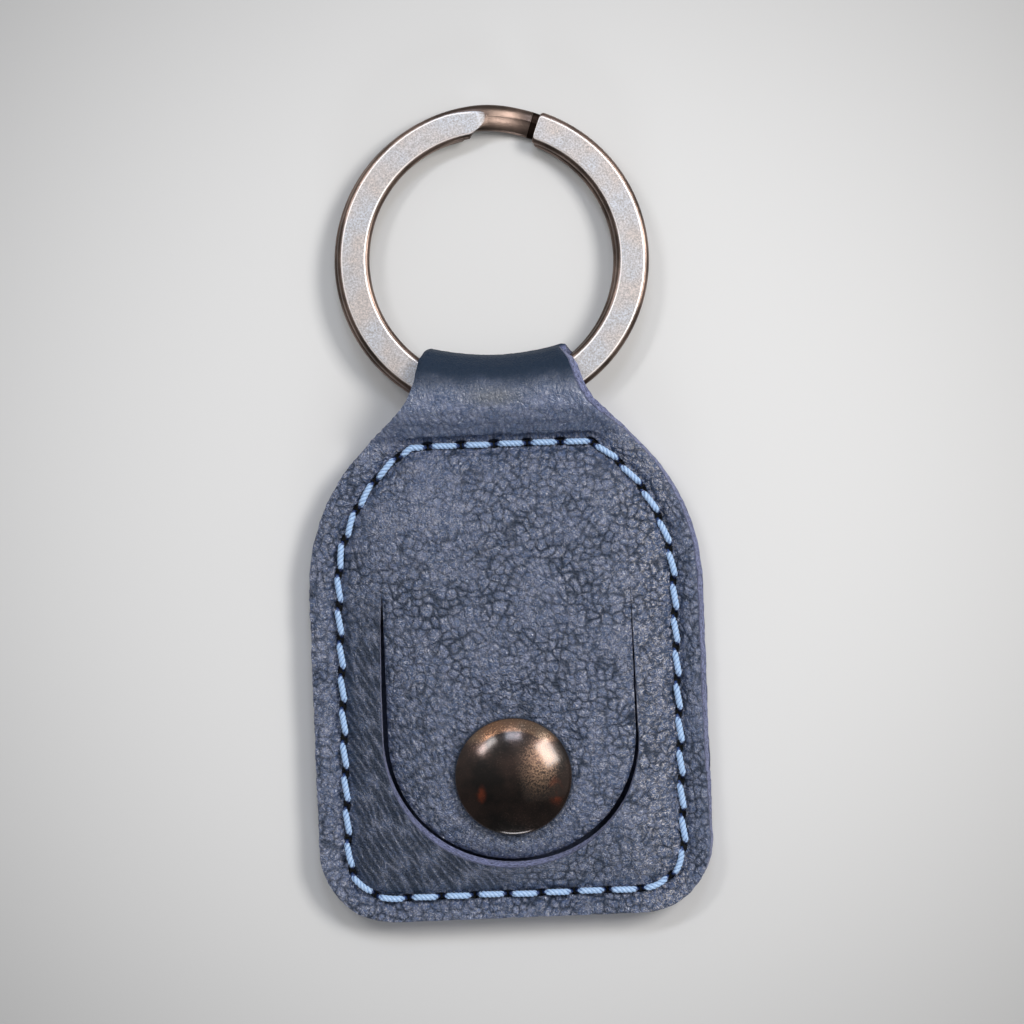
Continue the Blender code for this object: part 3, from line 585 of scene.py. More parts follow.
def add_mesh(name, vertices, faces, materials, sharp):
    """A smooth mesh from places in metres, with sharp edges past an angle."""
    mesh = bpy.data.meshes.new(name)
    mesh.from_pydata(vertices.tolist(), [], faces)
    for material in materials:
        mesh.materials.append(material)
    mesh.shade_smooth()
    mesh.set_sharp_from_angle(angle=math.radians(sharp))
    return link_object(name, mesh)


def mark_points(mesh, name, values):
    """Stores a number at every point of a mesh, for its material to read."""
    mesh.attributes.new(name, "FLOAT", "POINT").data.foreach_set("value", values)


def leather_piece(name, loops, grain_steps, grain_side, flesh_side, materials, pricked=0):
    """A closed piece of leather: grain side, flesh side and the raw edge along every cut.

    The grain is pressed down into the pricked holes, which are the last of the loops, and their
    walls and rims are painted dark, as painted shade."""
    top_flat, top_faces = cut_triangles(loops, grain_steps)
    low_flat, low_faces = cut_triangles(loops, ((*WHOLE_BLANK, FLESH_STEP),))
    top, crease, fold = grain_side(*top_flat.T)
    low = flesh_side(*low_flat.T)
    border = sum(len(loop) for loop in loops)
    unpricked = border - sum(len(loop) for loop in loops[len(loops) - pricked:])
    pressed_in = np.arange(border) >= unpricked
    # The rims and walls of the pricked holes are painted dark, as painted shade.
    crease[:border][pressed_in] = 1.0
    vertices = [top, low]
    hide = [np.pad(top_flat, ((0, 0), (0, 1))),
            np.column_stack([low_flat, np.full(len(low), LEATHER)])]
    low_crease = np.zeros(len(low))
    low_crease[:border] = pressed_in
    rough = np.random.default_rng(41)
    for share in np.arange(1, EDGE_ROWS) / EDGE_ROWS:
        middle = top[:border] * (1 - share) + low[:border] * share
        vertices.append(middle + rough.uniform(-EDGE_ROUGH, EDGE_ROUGH, middle.shape) * MM)
        hide.append(np.column_stack([top_flat[:border], np.full(border, LEATHER * share)]))
    rows = [0, *(len(top) + len(low) + border * i for i in range(EDGE_ROWS - 1)), len(top)]
    faces = [tuple(f) for f in top_faces] + [tuple(f) for f in (low_faces[:, ::-1] + len(top))]
    slots = [0] * len(top_faces) + [1] * len(low_faces)
    start = 0
    for loop in loops:
        around = np.arange(start, start + len(loop))
        follow = np.roll(around, -1)
        x, y = loop.T
        clockwise = np.sum(x * np.roll(y, -1) - np.roll(x, -1) * y) < 0
        outward = clockwise != (start == 0)
        for upper, lower in zip(rows, rows[1:]):
            for a, b in zip(around, follow):
                quad = (upper + a, lower + a, lower + b, upper + b)
                faces.append(quad if outward else quad[::-1])
        slots += [0 if start >= unpricked else 2] * (len(loop) * EDGE_ROWS)
        start += len(loop)
    piece = add_mesh(name, np.concatenate(vertices), faces, materials, SHARP_EDGE)
    mesh = piece.data
    mesh.polygons.foreach_set("material_index", slots)
    places = mesh.attributes.new("hide", "FLOAT_VECTOR", "POINT")
    places.data.foreach_set("vector", np.concatenate(hide).ravel())
    edge_crease = [pressed_in] * (EDGE_ROWS - 1)
    mark_points(mesh, "crease", np.concatenate([crease, low_crease, *edge_crease]))
    mark_points(mesh, "stretched", np.pad(fold, (0, len(mesh.vertices) - len(fold))))
    return piece


def grain_leather():
    """Tumbled full-grain leather under a thin clear finish. The finish gives the crinkled pebble
    tops their grey glints, which are also painted into the colour as painted highlights. The
    creases are painted darker and more teal, as painted shade, and so is the smooth crest of the
    fold."""
    material, add, shader = start_material("navy_tumbled_grain_leather")
    hide = add("Attribute", attribute_name="hide", output="Vector")
    near = add("Attribute", attribute_name="crease", output="Fac")
    stretched = add("Attribute", attribute_name="stretched", output="Fac")
    crease = add("MapRange", near, 0.38, 1.10, **SOFT)
    # Fine crinkles over the pebbles, 0.3 to 0.4 mm apart.
    bend = add("TexNoise", Vector=hide, Scale=1.6, Detail=2.0, output="Color")
    bent = add("VectorMath", bend, (0.7, 0.7, 0.5), hide, operation="MULTIPLY_ADD")
    cells = add("TexVoronoi", Vector=bent, Scale=2.5, feature="DISTANCE_TO_EDGE")
    cell = add("MapRange", cells, 0.0, 0.30, **SOFT)
    crinkle = add("TexNoise", Vector=bent, Scale=3.0, Detail=1.0, Roughness=0.5)
    # Hair-fine folds of the finish, painted paler as painted highlights of their glints, and more
    # so on the right, where the surface turns towards the key lamp. The rim past the seam and the
    # neck get less of this painted highlight.
    folds = add("TexNoise", Vector=bent, Scale=2.7, Detail=1.5, Roughness=0.55)
    off_fold = add("Math", add("Math", folds, 0.5, operation="SUBTRACT"), operation="ABSOLUTE")
    glint_folds = add("MapRange", off_fold, 0.0, 0.048, 1.0, 0.0, **SOFT)
    spot = add("SeparateXYZ", hide).node.outputs
    key_lit_side = add("MapRange", spot["X"], 10.5, 14.5, 0.42, 1.0)
    past_seam = add("MapRange", spot["X"], 17.0, 18.2, 1.0, 0.3)
    neck = add("MapRange", spot["Y"], 21.0, 23.5, 1.0, 0.5)
    painted_glint_share = add("Math", past_seam, neck, operation="MULTIPLY")
    painted_glint_share = add("Math", key_lit_side, painted_glint_share, operation="MULTIPLY")
    painted_glints = add("Math", glint_folds, painted_glint_share, operation="MULTIPLY")
    patches = add("TexNoise", Vector=hide, Scale=0.16, Detail=3.0)
    wear_and_glow = add("TexNoise", Vector=hide, Scale=0.75, Detail=2.0)
    tone = add("Mix", patches, "#4D5E7F", "#5B698A", **COLOUR)
    tone = add("Mix", add("MapRange", wear_and_glow, 0.42, 0.68), tone, "#737D9A", **COLOUR)
    # Painted highlights along the fine folds.
    tone = add("Mix", painted_glints, tone, "#D6D2D6", **COLOUR)
    # The creases are painted dark, as painted shade.
    tone = add("Mix", crease, tone, "#1D2B40", **COLOUR)
    # The neck is rubbed a little yellow where it rides over the ring.
    oval = add("Mapping", hide, (0.1, -16.9, 0.0), Scale=(0.20, 0.60, 0.0))
    away = add("VectorMath", oval, operation="LENGTH")
    yellow = add("MapRange", away, 0.0, 1.0, 0.45, 0.0, **SOFT)
    tone = add("Mix", yellow, tone, "#6C6A58", **COLOUR)
    dull = add("Math", crease, stretched, operation="MAXIMUM")
    relief = add("Math", crinkle, 1.6, cell, operation="MULTIPLY_ADD")
    relief = add("Math", glint_folds, 0.3, relief, operation="MULTIPLY_ADD")
    calm = add("MapRange", stretched, 0.0, 1.0, neck, 0.42)
    bump = add("Bump", calm, 0.0001, Height=relief)
    set_inputs(shader, {
        # The stretched crest of the fold is painted dark, as painted shade.
        "Base Color": add("Mix", stretched, tone, "#1D2C3F", **COLOUR),
        "Roughness": add("MapRange", dull, 0.0, 1.0, 0.30, 0.55),
        "Coat Weight": add("MapRange", dull, 0.0, 1.0, 1.0, 0.0),
        "Coat Roughness": 0.19,
        "Specular IOR Level": add("MapRange", stretched, 0.0, 1.0, 0.5, 0.2),
        "IOR": 1.5,
        "Normal": bump,
        "Coat Normal": bump,
    })
    return material


def flesh_leather():
    """The napped underside of the hide: dull, soft and a little greyer than the grain."""
    material, add, shader = start_material("navy_suede_flesh_side")
    hide = add("Attribute", attribute_name="hide", output="Vector")
    nap = add("TexNoise", Vector=hide, Scale=3.5, Detail=5.0, Roughness=0.7)
    tone = add("Mix", nap, "#27304A", "#525D7E", **COLOUR)
    bump = add("Bump", 0.8, 0.00015, Height=nap)
    set_inputs(shader, {"Base Color": tone, "Roughness": 0.92, "Sheen Weight": 0.25,
                        "Sheen Roughness": 0.6, "Normal": bump})
    return material


def raw_edge_leather():
    """The die-cut edge: violet-blue fibres of dyed hide, matt, under the grain's dark skin."""
    material, add, shader = start_material("violet_raw_cut_leather")
    hide = add("Attribute", attribute_name="hide", output="Vector")
    drawn_out = add("Mapping", hide, Scale=(1.0, 1.0, 2.2))
    fibre = add("TexNoise", Vector=drawn_out, Scale=3.0, Detail=4.0, Roughness=0.75)
    tone = add("Mix", add("MapRange", fibre, 0.40, 0.62), "#303A5C", "#8A91BC", **COLOUR)
    skin = add("MapRange", add("SeparateXYZ", hide, output="Z"), 0.0, 0.4, 1.0, 0.0)
    tone = add("Mix", skin, tone, "#2C3550", **COLOUR)
    bump = add("Bump", 0.9, 0.00012, Height=fibre)
    set_inputs(shader, {"Base Color": tone, "Roughness": 0.85, "Sheen Weight": 0.2, "Normal": bump})
    return material


def blank_outline():
    """The die's outline of the whole blank, with the small wander of a real cut."""
    along = np.linspace(-HALF_LENGTH, PATH_ALONG[-1], OUTLINE_PLACES)
    half = half_width(along)
    half[0] = half[-1] = HALF_WIDTH - BODY_CORNER
    travel = travelled(half, along)
    even = np.linspace(0.0, travel[-1], int(travel[-1] / EDGE_STEP))
    right = np.column_stack([np.interp(even, travel, part) for part in (half, along)])
    across = np.linspace(-right[0, 0], right[0, 0], int(2 * right[0, 0] / EDGE_STEP))[1:-1]
    bottom, last = (np.column_stack([across, np.full(len(across), end)])
                    for end in (-HALF_LENGTH, PATH_ALONG[-1]))
    loop = np.concatenate([bottom, right, last[::-1], right[::-1] * (-1, 1)])
    x, y = loop.T
    wander = 0.06 * soft_noise(x + 50, y + 50, 1.4, 21) + 0.04 * soft_noise(x, y, 0.45, 22)
    out = loop - np.column_stack([np.zeros(len(x)), np.clip(y, -15.0, PATH_ALONG[-1] - 12.0)])
    return loop + unit(out) * wander[:, None]


def arc(x, y, radius, angles):
    return np.column_stack([x + radius * np.cos(angles), y + radius * np.sin(angles)])


def full_turn(count):
    return np.linspace(0.0, 2 * math.pi, count + 1)[:-1]


def seam_line():
    """The line of stitches, clockwise from its top left corner."""
    lean = math.asin((SEAM_TOP - ARCH_Y) / SEAM_HALF)
    low = SEAM_LOW + SEAM_CORNER
    side = SEAM_HALF - SEAM_CORNER
    turns = (
        (0.0, ARCH_Y, SEAM_HALF, lean, 0.0),
        (side, low, SEAM_CORNER, 0.0, -math.pi / 2),
        (-side, low, SEAM_CORNER, -math.pi / 2, -math.pi),
        (0.0, ARCH_Y, SEAM_HALF, math.pi, math.pi - lean),
    )
    return np.concatenate([
        [(-SEAM_HALF * math.cos(lean), SEAM_TOP)],
        *(arc(x, y, radius, np.linspace(start, end, SEAM_TURN_PLACES))
          for x, y, radius, start, end in turns),
    ])


SEAM_LINE = seam_line().T
SEAM_TRAVEL = travelled(*SEAM_LINE)
PITCH = SEAM_TRAVEL[-1] / STITCHES


def seam_place(distance):
    """The place on the seam after a distance, and the direction of sewing there."""
    behind, here, ahead = (
        np.array([np.interp((distance + step) % SEAM_TRAVEL[-1], SEAM_TRAVEL, part)
                  for part in SEAM_LINE]) for step in (-SEAM_LOOK, 0.0, SEAM_LOOK))
    return here, (ahead - behind) / math.hypot(*(ahead - behind))


def awl_slits(to_back):
    """The awl's holes between the stitches, on the front or as they fall on the blank's back."""
    loops = []
    turn = full_turn(SLIT_SIDES)
    for i in range(STITCHES):
        middle, along = seam_place((i + 0.5) * PITCH)
        across = np.array([along[1], -along[0]])
        loop = (middle + np.outer(np.cos(turn) * SLIT_LENGTH / 2, along)
                + np.outer(np.sin(turn) * SLIT_WIDTH / 2, across))
        if to_back:
            loop[:, 1] = BACK_ALONG - loop[:, 1]
        loops.append(loop)
    return loops


# The U-shaped mouth of the pocket: its cut line follows the flap's, and the gap between them opens
# from a hairline at the top to about half a millimetre at the left side and the lower corners.
def tongue_line():
    """The flap's own cut line from its top left, round the bottom, to its top right, and the
    direction outward from each place."""
    straight = np.arange(FLAP_TOP_Y, FLAP_TURN_Y, -EDGE_STEP)
    side = np.full(len(straight), FLAP_HALF)
    turn = np.linspace(math.pi, 2 * math.pi, int(math.pi * FLAP_HALF / EDGE_STEP))[1:-1]
    x = np.concatenate([-side, FLAP_HALF * np.cos(turn), side])
    y = np.concatenate([straight, FLAP_TURN_Y + FLAP_HALF * np.sin(turn), straight[::-1]])
    out = np.column_stack([x, np.minimum(0.0, y - FLAP_TURN_Y)])
    return np.column_stack([x, y]), unit(out)


tongue, tongue_out = tongue_line()
flap_top_x = np.linspace(FLAP_HALF, -FLAP_HALF, FLAP_TOP_POINTS + 2)[1:-1]
flap_top = np.column_stack([flap_top_x, np.full(FLAP_TOP_POINTS, FLAP_TOP_Y)])
gap = between(travelled(*tongue.T) + FLAP_TURN_Y - FLAP_TOP_Y, MOUTH_GAP)
mouth = np.concatenate([tongue + tongue_out * gap[:, None], flap_top])
round_hole = full_turn(HOLE_SIDES)
post_hole = arc(0.0, BACK_ALONG - SNAP_Y, POST_HOLE, round_hole)
body_loops = [blank_outline(), mouth, post_hole, *awl_slits(False), *awl_slits(True)]
fine_end = CREST_ALONG + 4.0
body_steps = ((WHOLE_BLANK[0], fine_end, GRAIN_STEP), (fine_end, WHOLE_BLANK[1], BACK_GRAIN_STEP))
leathers = [grain_leather(), flesh_leather(), raw_edge_leather()]
body = leather_piece("leather_body", body_loops, body_steps, body_grain_side, body_flesh_side,
                     leathers, pricked=2 * STITCHES)
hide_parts("front_panel", "ring_loop", "back_panel")
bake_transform(body)


# Flap. The tongue that the U-shaped cut leaves in the front, so the same hide, still joined along
# its uncut top edge. Its free edge is drawn down a little by the snap.
FLAP_SINK = 0.8
FLAP_SINK_REACH = 5.0
FLAP_SINK_RUN = 14.0
CAP_RADIUS = 5.95
SEAT_MARGIN = 0.6
SEAT_BLEND = 2.5
CAP_HOLE = 1.9
FLAP_GRAIN_STEP = 0.145


def from_free_edge(x, y):
    """How far a place lies inside the flap's free edge."""
    return FLAP_HALF - np.where(y > FLAP_TURN_Y, np.abs(x), np.hypot(x, y - FLAP_TURN_Y))


def flap_form(x, y):
    """The flap's height over the rim: crowned, flat under the cap, and lower at its edge."""
    from_seat = np.hypot(x, y - SNAP_Y) - CAP_RADIUS - SEAT_MARGIN
    clamped = 1 - smooth(from_seat / SEAT_BLEND)
    height = crown(x, y) * (1 - clamped) + DOME_RISE * clamped
    near = np.maximum(0.0, 1 - from_free_edge(x, y) / FLAP_SINK_REACH) ** 2
    drawn = near * smooth((FLAP_TOP_Y - y) / FLAP_SINK_RUN)
    level = smooth((x - 4.0) / 6.0) * smooth((y + 15.0) / 6.0)
    return height - FLAP_SINK * drawn * (1 - 0.8 * level)


def flap_grain_side(x, y):
    height, crease, fold = grain(x, y)
    rolled = 0.12 * (1 - smooth(from_free_edge(x, y) / 0.45)) * smooth((FLAP_TOP_Y - y) / 1.5)
    from_cap = np.hypot(x, y - SNAP_Y) - CAP_RADIUS
    pressed = 1 - smooth((from_cap + 0.3) / 0.4)
    # A thin ring round the cap's edge is painted dark, as painted shade.
    crease = np.maximum(crease, 1 - smooth((from_cap - 0.05) / 0.3))
    return place_on_fold(x, y, flap_form(x, y) + height * (1 - pressed) - rolled), crease, fold


def flap_flesh_side(x, y):
    return place_on_fold(x, y, flap_form(x, y) - LEATHER)


cap_hole = arc(0.0, SNAP_Y, CAP_HOLE, round_hole)
flap = leather_piece("leather_flap", [np.concatenate([tongue, flap_top]), cap_hole],
                     ((*WHOLE_BLANK, FLAP_GRAIN_STEP),), flap_grain_side, flap_flesh_side, leathers)
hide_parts("flap")
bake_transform(flap)


# Stitches. Light blue three-ply bonded sewing thread, 0.64 mm thick, in 43 stitches of 3.4 mm. Each
# one lies over the leather between two awl holes and dives into both. The back shows the same line.
THREAD = 0.64
PLIES = 3
PLY_RADIUS = 0.185
PLY_OFFSET = 0.15
PLY_SIDES = 8
TWIST_LENGTH = 1.35
STITCH_STATIONS = 33
STITCH_SLANT = 0.30
STITCH_HALF = 0.452
PRESSED_IN = 0.02
FRONT_DEEP_Z = 1.38
BACK_DEEP_Z = 1.08


def wound_faces(rings, sides):
    """The faces of a closed skin over rings of points, one ring after another, and its two ends."""
    faces = []
    for i in range(rings - 1):
        for j in range(sides):
            k = (j + 1) % sides
            faces.append((i * sides + j, (i + 1) * sides + j, (i + 1) * sides + k, i * sides + k))
    last = rings * sides - 1
    return faces + [tuple(range(sides)), tuple(range(last, last - sides, -1))]


def ply_points(centres, radii, normals):
    """The points of one ply, ring after ring along its line of centres."""
    along = unit(np.gradient(centres, axis=0))
    side = unit(np.cross(along, normals))
    up = np.cross(side, along)
    turn = full_turn(PLY_SIDES)[None, :, None]
    out = np.cos(turn) * side[:, None, :] + np.sin(turn) * up[:, None, :]
    return (centres[:, None, :] + radii[:, None, None] * out).reshape(-1, 3)


def bonded_thread():
    """Bonded polyester thread: satin, light blue, with the fine diagonal fibres of each ply."""
    material, add, shader = start_material("light_blue_bonded_thread")
    place = add("TexCoord", output="Object")
    fibre = add("TexNoise", Vector=place, Scale=5200.0, Detail=3.0)
    top = add("Mix", fibre, "#8DBBF0", "#CDE4FF", **COLOUR)
    # The grooves between the plies and the thread where it dives into the leather are painted dark
    # blue, as painted shade.
    out = add("Attribute", attribute_name="turned_out", output="Fac")
    tone = add("Mix", add("MapRange", out, 0.52, 0.96, **SOFT), "#2A4F94", top, **COLOUR)
    bump = add("Bump", 0.5, 0.00003, Height=fibre)
    set_inputs(shader, {"Base Color": tone, "Roughness": 0.4, "Sheen Weight": 0.3, "Normal": bump})
    return material


def stitch_row(name, top_z, deep_z, out, material):
    """Every stitch of one side: out is 1 on the front and -1 on the back."""
    vertices, faces, turned_out = [], [], []
    ply_faces = wound_faces(STITCH_STATIONS, PLY_SIDES)
    share = np.linspace(-STITCH_HALF, STITCH_HALF, STITCH_STATIONS)
    away = np.abs(share)
    dive = 0.06 * smooth((away - 0.15) / 0.18) + 0.94 * smooth((away - 0.285) / 0.13)
    tight = 1 - 0.3 * dive
    # Where the thread dives into the leather, it is painted darker, as painted shade.
    unshaded_share = np.repeat(1 - 0.8 * smooth((dive - 0.1) / 0.5), PLY_SIDES)
    chance = np.random.default_rng(51)
    for i in range(STITCHES):
        lift = chance.uniform(-0.03, 0.05)
        drift = chance.uniform(-0.05, 0.05)
        phase = chance.uniform(0, 6.28)
        points, side = [], []
        for u in share:
            middle, along = seam_place((i + u) * PITCH)
            left = np.array([-along[1], along[0]])
            slant = STITCH_SLANT * abs(along[1]) - 0.04
            points.append(middle + left * (2 * slant * u + drift))
            side.append((*left, 0.0))
        side = np.array(side)
        z = top_z + out * lift + (deep_z - top_z) * dive
        centres = np.column_stack([np.array(points), z])
        steps = np.linalg.norm(np.diff(centres, axis=0), axis=1)
        travel = np.concatenate([[0.0], np.cumsum(steps)])
        up = np.cross(unit(np.gradient(centres, axis=0)), side)
        for ply in range(PLIES):
            turn = travel / TWIST_LENGTH * 2 * math.pi + phase + ply * 2 * math.pi / PLIES
            offset = np.cos(turn)[:, None] * side + np.sin(turn)[:, None] * up
            offset = offset * (PLY_OFFSET * tight)[:, None]
            ring = ply_points(centres + offset, PLY_RADIUS * tight, up)
            first = len(vertices) * len(ring)
            faces += [tuple(v + first for v in face) for face in ply_faces]
            vertices.append(ring)
            from_core = np.linalg.norm(ring - np.repeat(centres, PLY_SIDES, axis=0), axis=1)
            turned_out.append(from_core / (PLY_OFFSET + PLY_RADIUS) * unshaded_share)
    piece = add_mesh(name, np.concatenate(vertices) * MM, faces, [material], sharp=40.0)
    mark_points(piece.data, "turned_out", np.concatenate(turned_out))
    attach(piece, "fob")
    return piece


thread = bonded_thread()
front_top_z = RIM_TOP - SEAM_DIP + THREAD / 2 - PRESSED_IN
back_top_z = BACK_DIP - THREAD / 2 + PRESSED_IN
front_stitches = stitch_row("front_stitches", front_top_z, FRONT_DEEP_Z, 1, thread)
back_stitches = stitch_row("back_stitches", back_top_z, BACK_DEEP_Z, -1, thread)
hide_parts("needle_thread")
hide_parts("bobbin_thread")


# Split ring. Flat nickel-plated steel wire wound twice, its flats faced to a pale satin. Its
# rounded sides are painted dark, as painted shade, and the thin bevels beside the flats near white,
# as painted highlights. At the top the front coil joggles down to the back one. A turn is in
# degrees, clockwise from the top as seen from the front.
RING_RADIUS = 16.0
RING_WIDTH = 3.35
RING_LAYER = 1.05
RING_SLIT = 0.1
RING_PIVOT = (0.0, 26.075, 2.8)
RING_TILT = 3.26
RING_FLAT_HALF = 1.09
RING_BEVEL = 0.10
RING_BEVEL_DROP = 0.045
JOGGLE_START = -8.5
JOGGLE_TURN = 27.0
JOGGLE_SLACK = 1.8
JOGGLE_TIP = 8.6
CORNER_TURN = 1.25
BACK_COIL_SHIFT = 0.3
RING_STEP = 2.5


def ring_section(inner_flat, outer_flat, half, inner_cut, soft):
    """The wire's section as (across, through, finish), with its flat between the two half-widths.

    The finish is 0 on the rolled sides, 1 on the faced flat and 2 on the bright bevel beside it."""
    top = RING_LAYER / 2
    low = top - RING_BEVEL_DROP
    bevel = RING_BEVEL + 0.15 * soft
    sides = []
    for flat, reach in ((outer_flat, half), (inner_flat, half - inner_cut)):
        foot = flat + bevel
        side = [(flat - 0.05, top, 1.0), (flat, top, 1.0), (flat + 0.02, top - 0.003, 2.0),
                (foot, low, 2.0)]
        for i in range(1, 9):
            angle = math.radians(90 - 11.25 * i)
            side.append((foot + (reach - foot) * math.cos(angle), low * math.sin(angle), 0.0))
        sides.append(side + [(x, -z, f) for x, z, f in side[-2::-1]])
    return sides[0] + [(-x, z, f) for x, z, f in sides[1][::-1]]


def ring_steel():
    """Nickel plated steel, faced on a belt: pearl grey flats with a fine sparkle. The bevels beside
    them are painted near white, as painted highlights, the rolled sides dark brown-grey, as painted
    shade, and the slit near black, as painted shade."""
    material, add, shader = start_material("faced_nickel_plated_steel")
    finish = add("Attribute", attribute_name="finish", output="Fac")
    faced = add("MapRange", finish, 0.3, 0.9)
    bevel = add("MapRange", finish, 1.2, 1.9)
    slit_shade = add("MapRange", finish, -0.6, -0.2, 1.0, 0.0)
    place = add("TexCoord", output="Object")
    # Belt grit of about 0.1 mm, drawn at 0.18 mm so that it shows.
    grit = add("TexNoise", Vector=place, Scale=5600.0, Detail=3.0, Roughness=0.7)
    cloud = add("TexNoise", Vector=place, Scale=260.0, Detail=4.0)
    warm = add("MapRange", cloud, 0.4, 0.6)
    field = add("Mix", warm, "#D3D6DE", "#DBD0CB", **COLOUR)
    pale = add("Mix", add("MapRange", grit, 0.36, 0.64), "#A9A4A2", field, **COLOUR)
    # The rolled sides are painted dark brown-grey, as painted shade.
    dark = add("Mix", warm, "#584C46", "#827067", **COLOUR)
    tone = add("Mix", faced, dark, pale, **COLOUR)
    # The bevels are painted near white, as painted highlights, and the slit near black, as painted
    # shade.
    tone = add("Mix", bevel, tone, "#FBF3F0", **COLOUR)
    tone = add("Mix", slit_shade, tone, "#2A201B", **COLOUR)
    rough = add("MapRange", faced, 0.0, 1.0, 0.32, 0.52)
    bump = add("Bump", 0.5, 0.00003, Height=grit)
    set_inputs(shader, {"Base Color": tone, "Metallic": 1.0, "Roughness": rough, "Normal": bump})
    return material


def held(value):
    """The value, held between 0 and 1."""
    return min(max(value, 0.0), 1.0)


def key_ring():
    start = JOGGLE_START + JOGGLE_TURN + JOGGLE_SLACK
    joggle_from = 360.0 + JOGGLE_START
    joggle_to = joggle_from + JOGGLE_TURN
    end = joggle_from + 360.0 - 1.0
    corner_turns = np.array([0.0, 0.06, 0.2, 0.45, 0.8, CORNER_TURN])
    turns = np.concatenate([
        start + corner_turns,
        np.linspace(start + 2.0, joggle_from - 8.0, int((joggle_from - start) / RING_STEP)),
        np.linspace(joggle_from - 8.0, joggle_to, 58)[1:],
        joggle_to + np.array([0.08, 0.6, 1.2, 1.8, 2.6, 3.4, 3.6, 5.0]),
        np.linspace(joggle_to + 7.0, end - 2.0, int((end - joggle_to) / RING_STEP)),
        end - corner_turns[::-1],
    ])
    half = RING_WIDTH / 2
    wire_radius = RING_RADIUS - half
    half_step = (RING_LAYER + RING_SLIT) / 2
    tilt = math.radians(RING_TILT)
    vertices, finish = [], []
    for turn in turns:
        past = turn - joggle_from
        hidden = turn - joggle_to - JOGGLE_SLACK
        dropped = float(smooth(np.array((past - 3.0) / (JOGGLE_TURN - 4.0))))
        # Its flat runs out to a rounded tip at the outer side and returns under the front coil.
        back = held(1 - (hidden - 0.8) / 2.5)
        tip = held(past / JOGGLE_TIP) * back
        outer_tip = held((past + 8.0) / (JOGGLE_TIP + 8.0)) * back
        cut = 0.62 * held(past / 2.2) * back
        # The wire is necked in the slit before the front coil's squared end, and painted near black
        # there, as painted shade.
        neck = 0.24 * (-JOGGLE_SLACK < hidden < 1.5)
        # The two ends of the wire have their corners taken off.
        from_end = min(turn - turns[0], turns[-1] - turn)
        corner = 0.32 * (1 - math.sqrt(1 - max(0.0, 1 - from_end / CORNER_TURN) ** 2))
        height = half_step * (1 - 2 * dropped) - neck * 0.5
        angle = math.radians(turn)
        outer_flat = RING_FLAT_HALF - 0.55 * outer_tip ** 1.5 - corner
        inner_flat = RING_FLAT_HALF - 1.63 * tip ** 1.7 - corner
        section = ring_section(inner_flat, outer_flat, half - corner, cut, tip)
        for across, through, kind in section:
            radius = wire_radius + across
            x = math.sin(angle) * radius - BACK_COIL_SHIFT * dropped
            y = wire_radius + math.cos(angle) * radius
            z = height + through * (1 - neck)
            vertices.append((
                RING_PIVOT[0] + x,
                RING_PIVOT[1] + y * math.cos(tilt) + z * math.sin(tilt),
                RING_PIVOT[2] - y * math.sin(tilt) + z * math.cos(tilt),
            ))
            # The bevels and the wire's ends get the painted highlight, fading towards the joggle's
            # tip, where the flat fades into the sides' painted shade.
            if kind == 2.0 or (from_end < 0.1 and kind):
                kind = 2.0 - 1.2 * min(1.0, 1.5 * tip)
            finish.append(-1.0 if neck else kind * (1 - tip ** 4))
    faces = wound_faces(len(turns), len(section))
    ring = add_mesh("key_ring", np.array(vertices) * MM, faces, [ring_steel()], sharp=30.0)
    mark_points(ring.data, "finish", finish)
    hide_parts("split_ring")
    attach(ring, "ring")


key_ring()


# Snap cap. A brass shell drawn to a dome, polished and plated gunmetal, crimped round the flange of
# its post. It has the fine scuffs of use. A warm band along its upper rim, two copper spots low
# down and the paler scuffs on its right are painted reflections.
CAP_TOP = 8.4
DOME_CURVE = 11.2
DOME_RADIUS = 5.79
DOME_RINGS = 34
CAP_FOOT = ((4.85, 6.2), (5.7, 6.2), (5.86, 6.26), (5.94, 6.38))
CAP_EDGE = ((5.95, 6.5), (5.945, 6.58), (5.92, 6.65), (5.87, 6.715))
CAP_CRIMP = ((5.5, 6.6), (5.5, 6.5), (4.85, 6.5))
TURNED_SIDES = 120


def turned(name, profile, material):
    """A solid turned about the snap's axis from a closed line of (radius, height)."""
    vertices, rings, faces = [], [], []
    for radius, height in profile:
        if radius == 0:
            rings.append([len(vertices)] * TURNED_SIDES)
            vertices.append((0.0, SNAP_Y, height))
            continue
        rings.append(list(range(len(vertices), len(vertices) + TURNED_SIDES)))
        vertices += [(radius * math.cos(a), SNAP_Y + radius * math.sin(a), height)
                     for a in full_turn(TURNED_SIDES)]
    for low, high in zip(rings, rings[1:] + rings[:1]):
        if low[0] == low[1] and high[0] == high[1]:
            continue
        for i in range(TURNED_SIDES):
            j = (i + 1) % TURNED_SIDES
            faces.append(tuple(dict.fromkeys((low[i], low[j], high[j], high[i]))))
    return add_mesh(name, np.array(vertices) * MM, faces, [material], sharp=30.0)


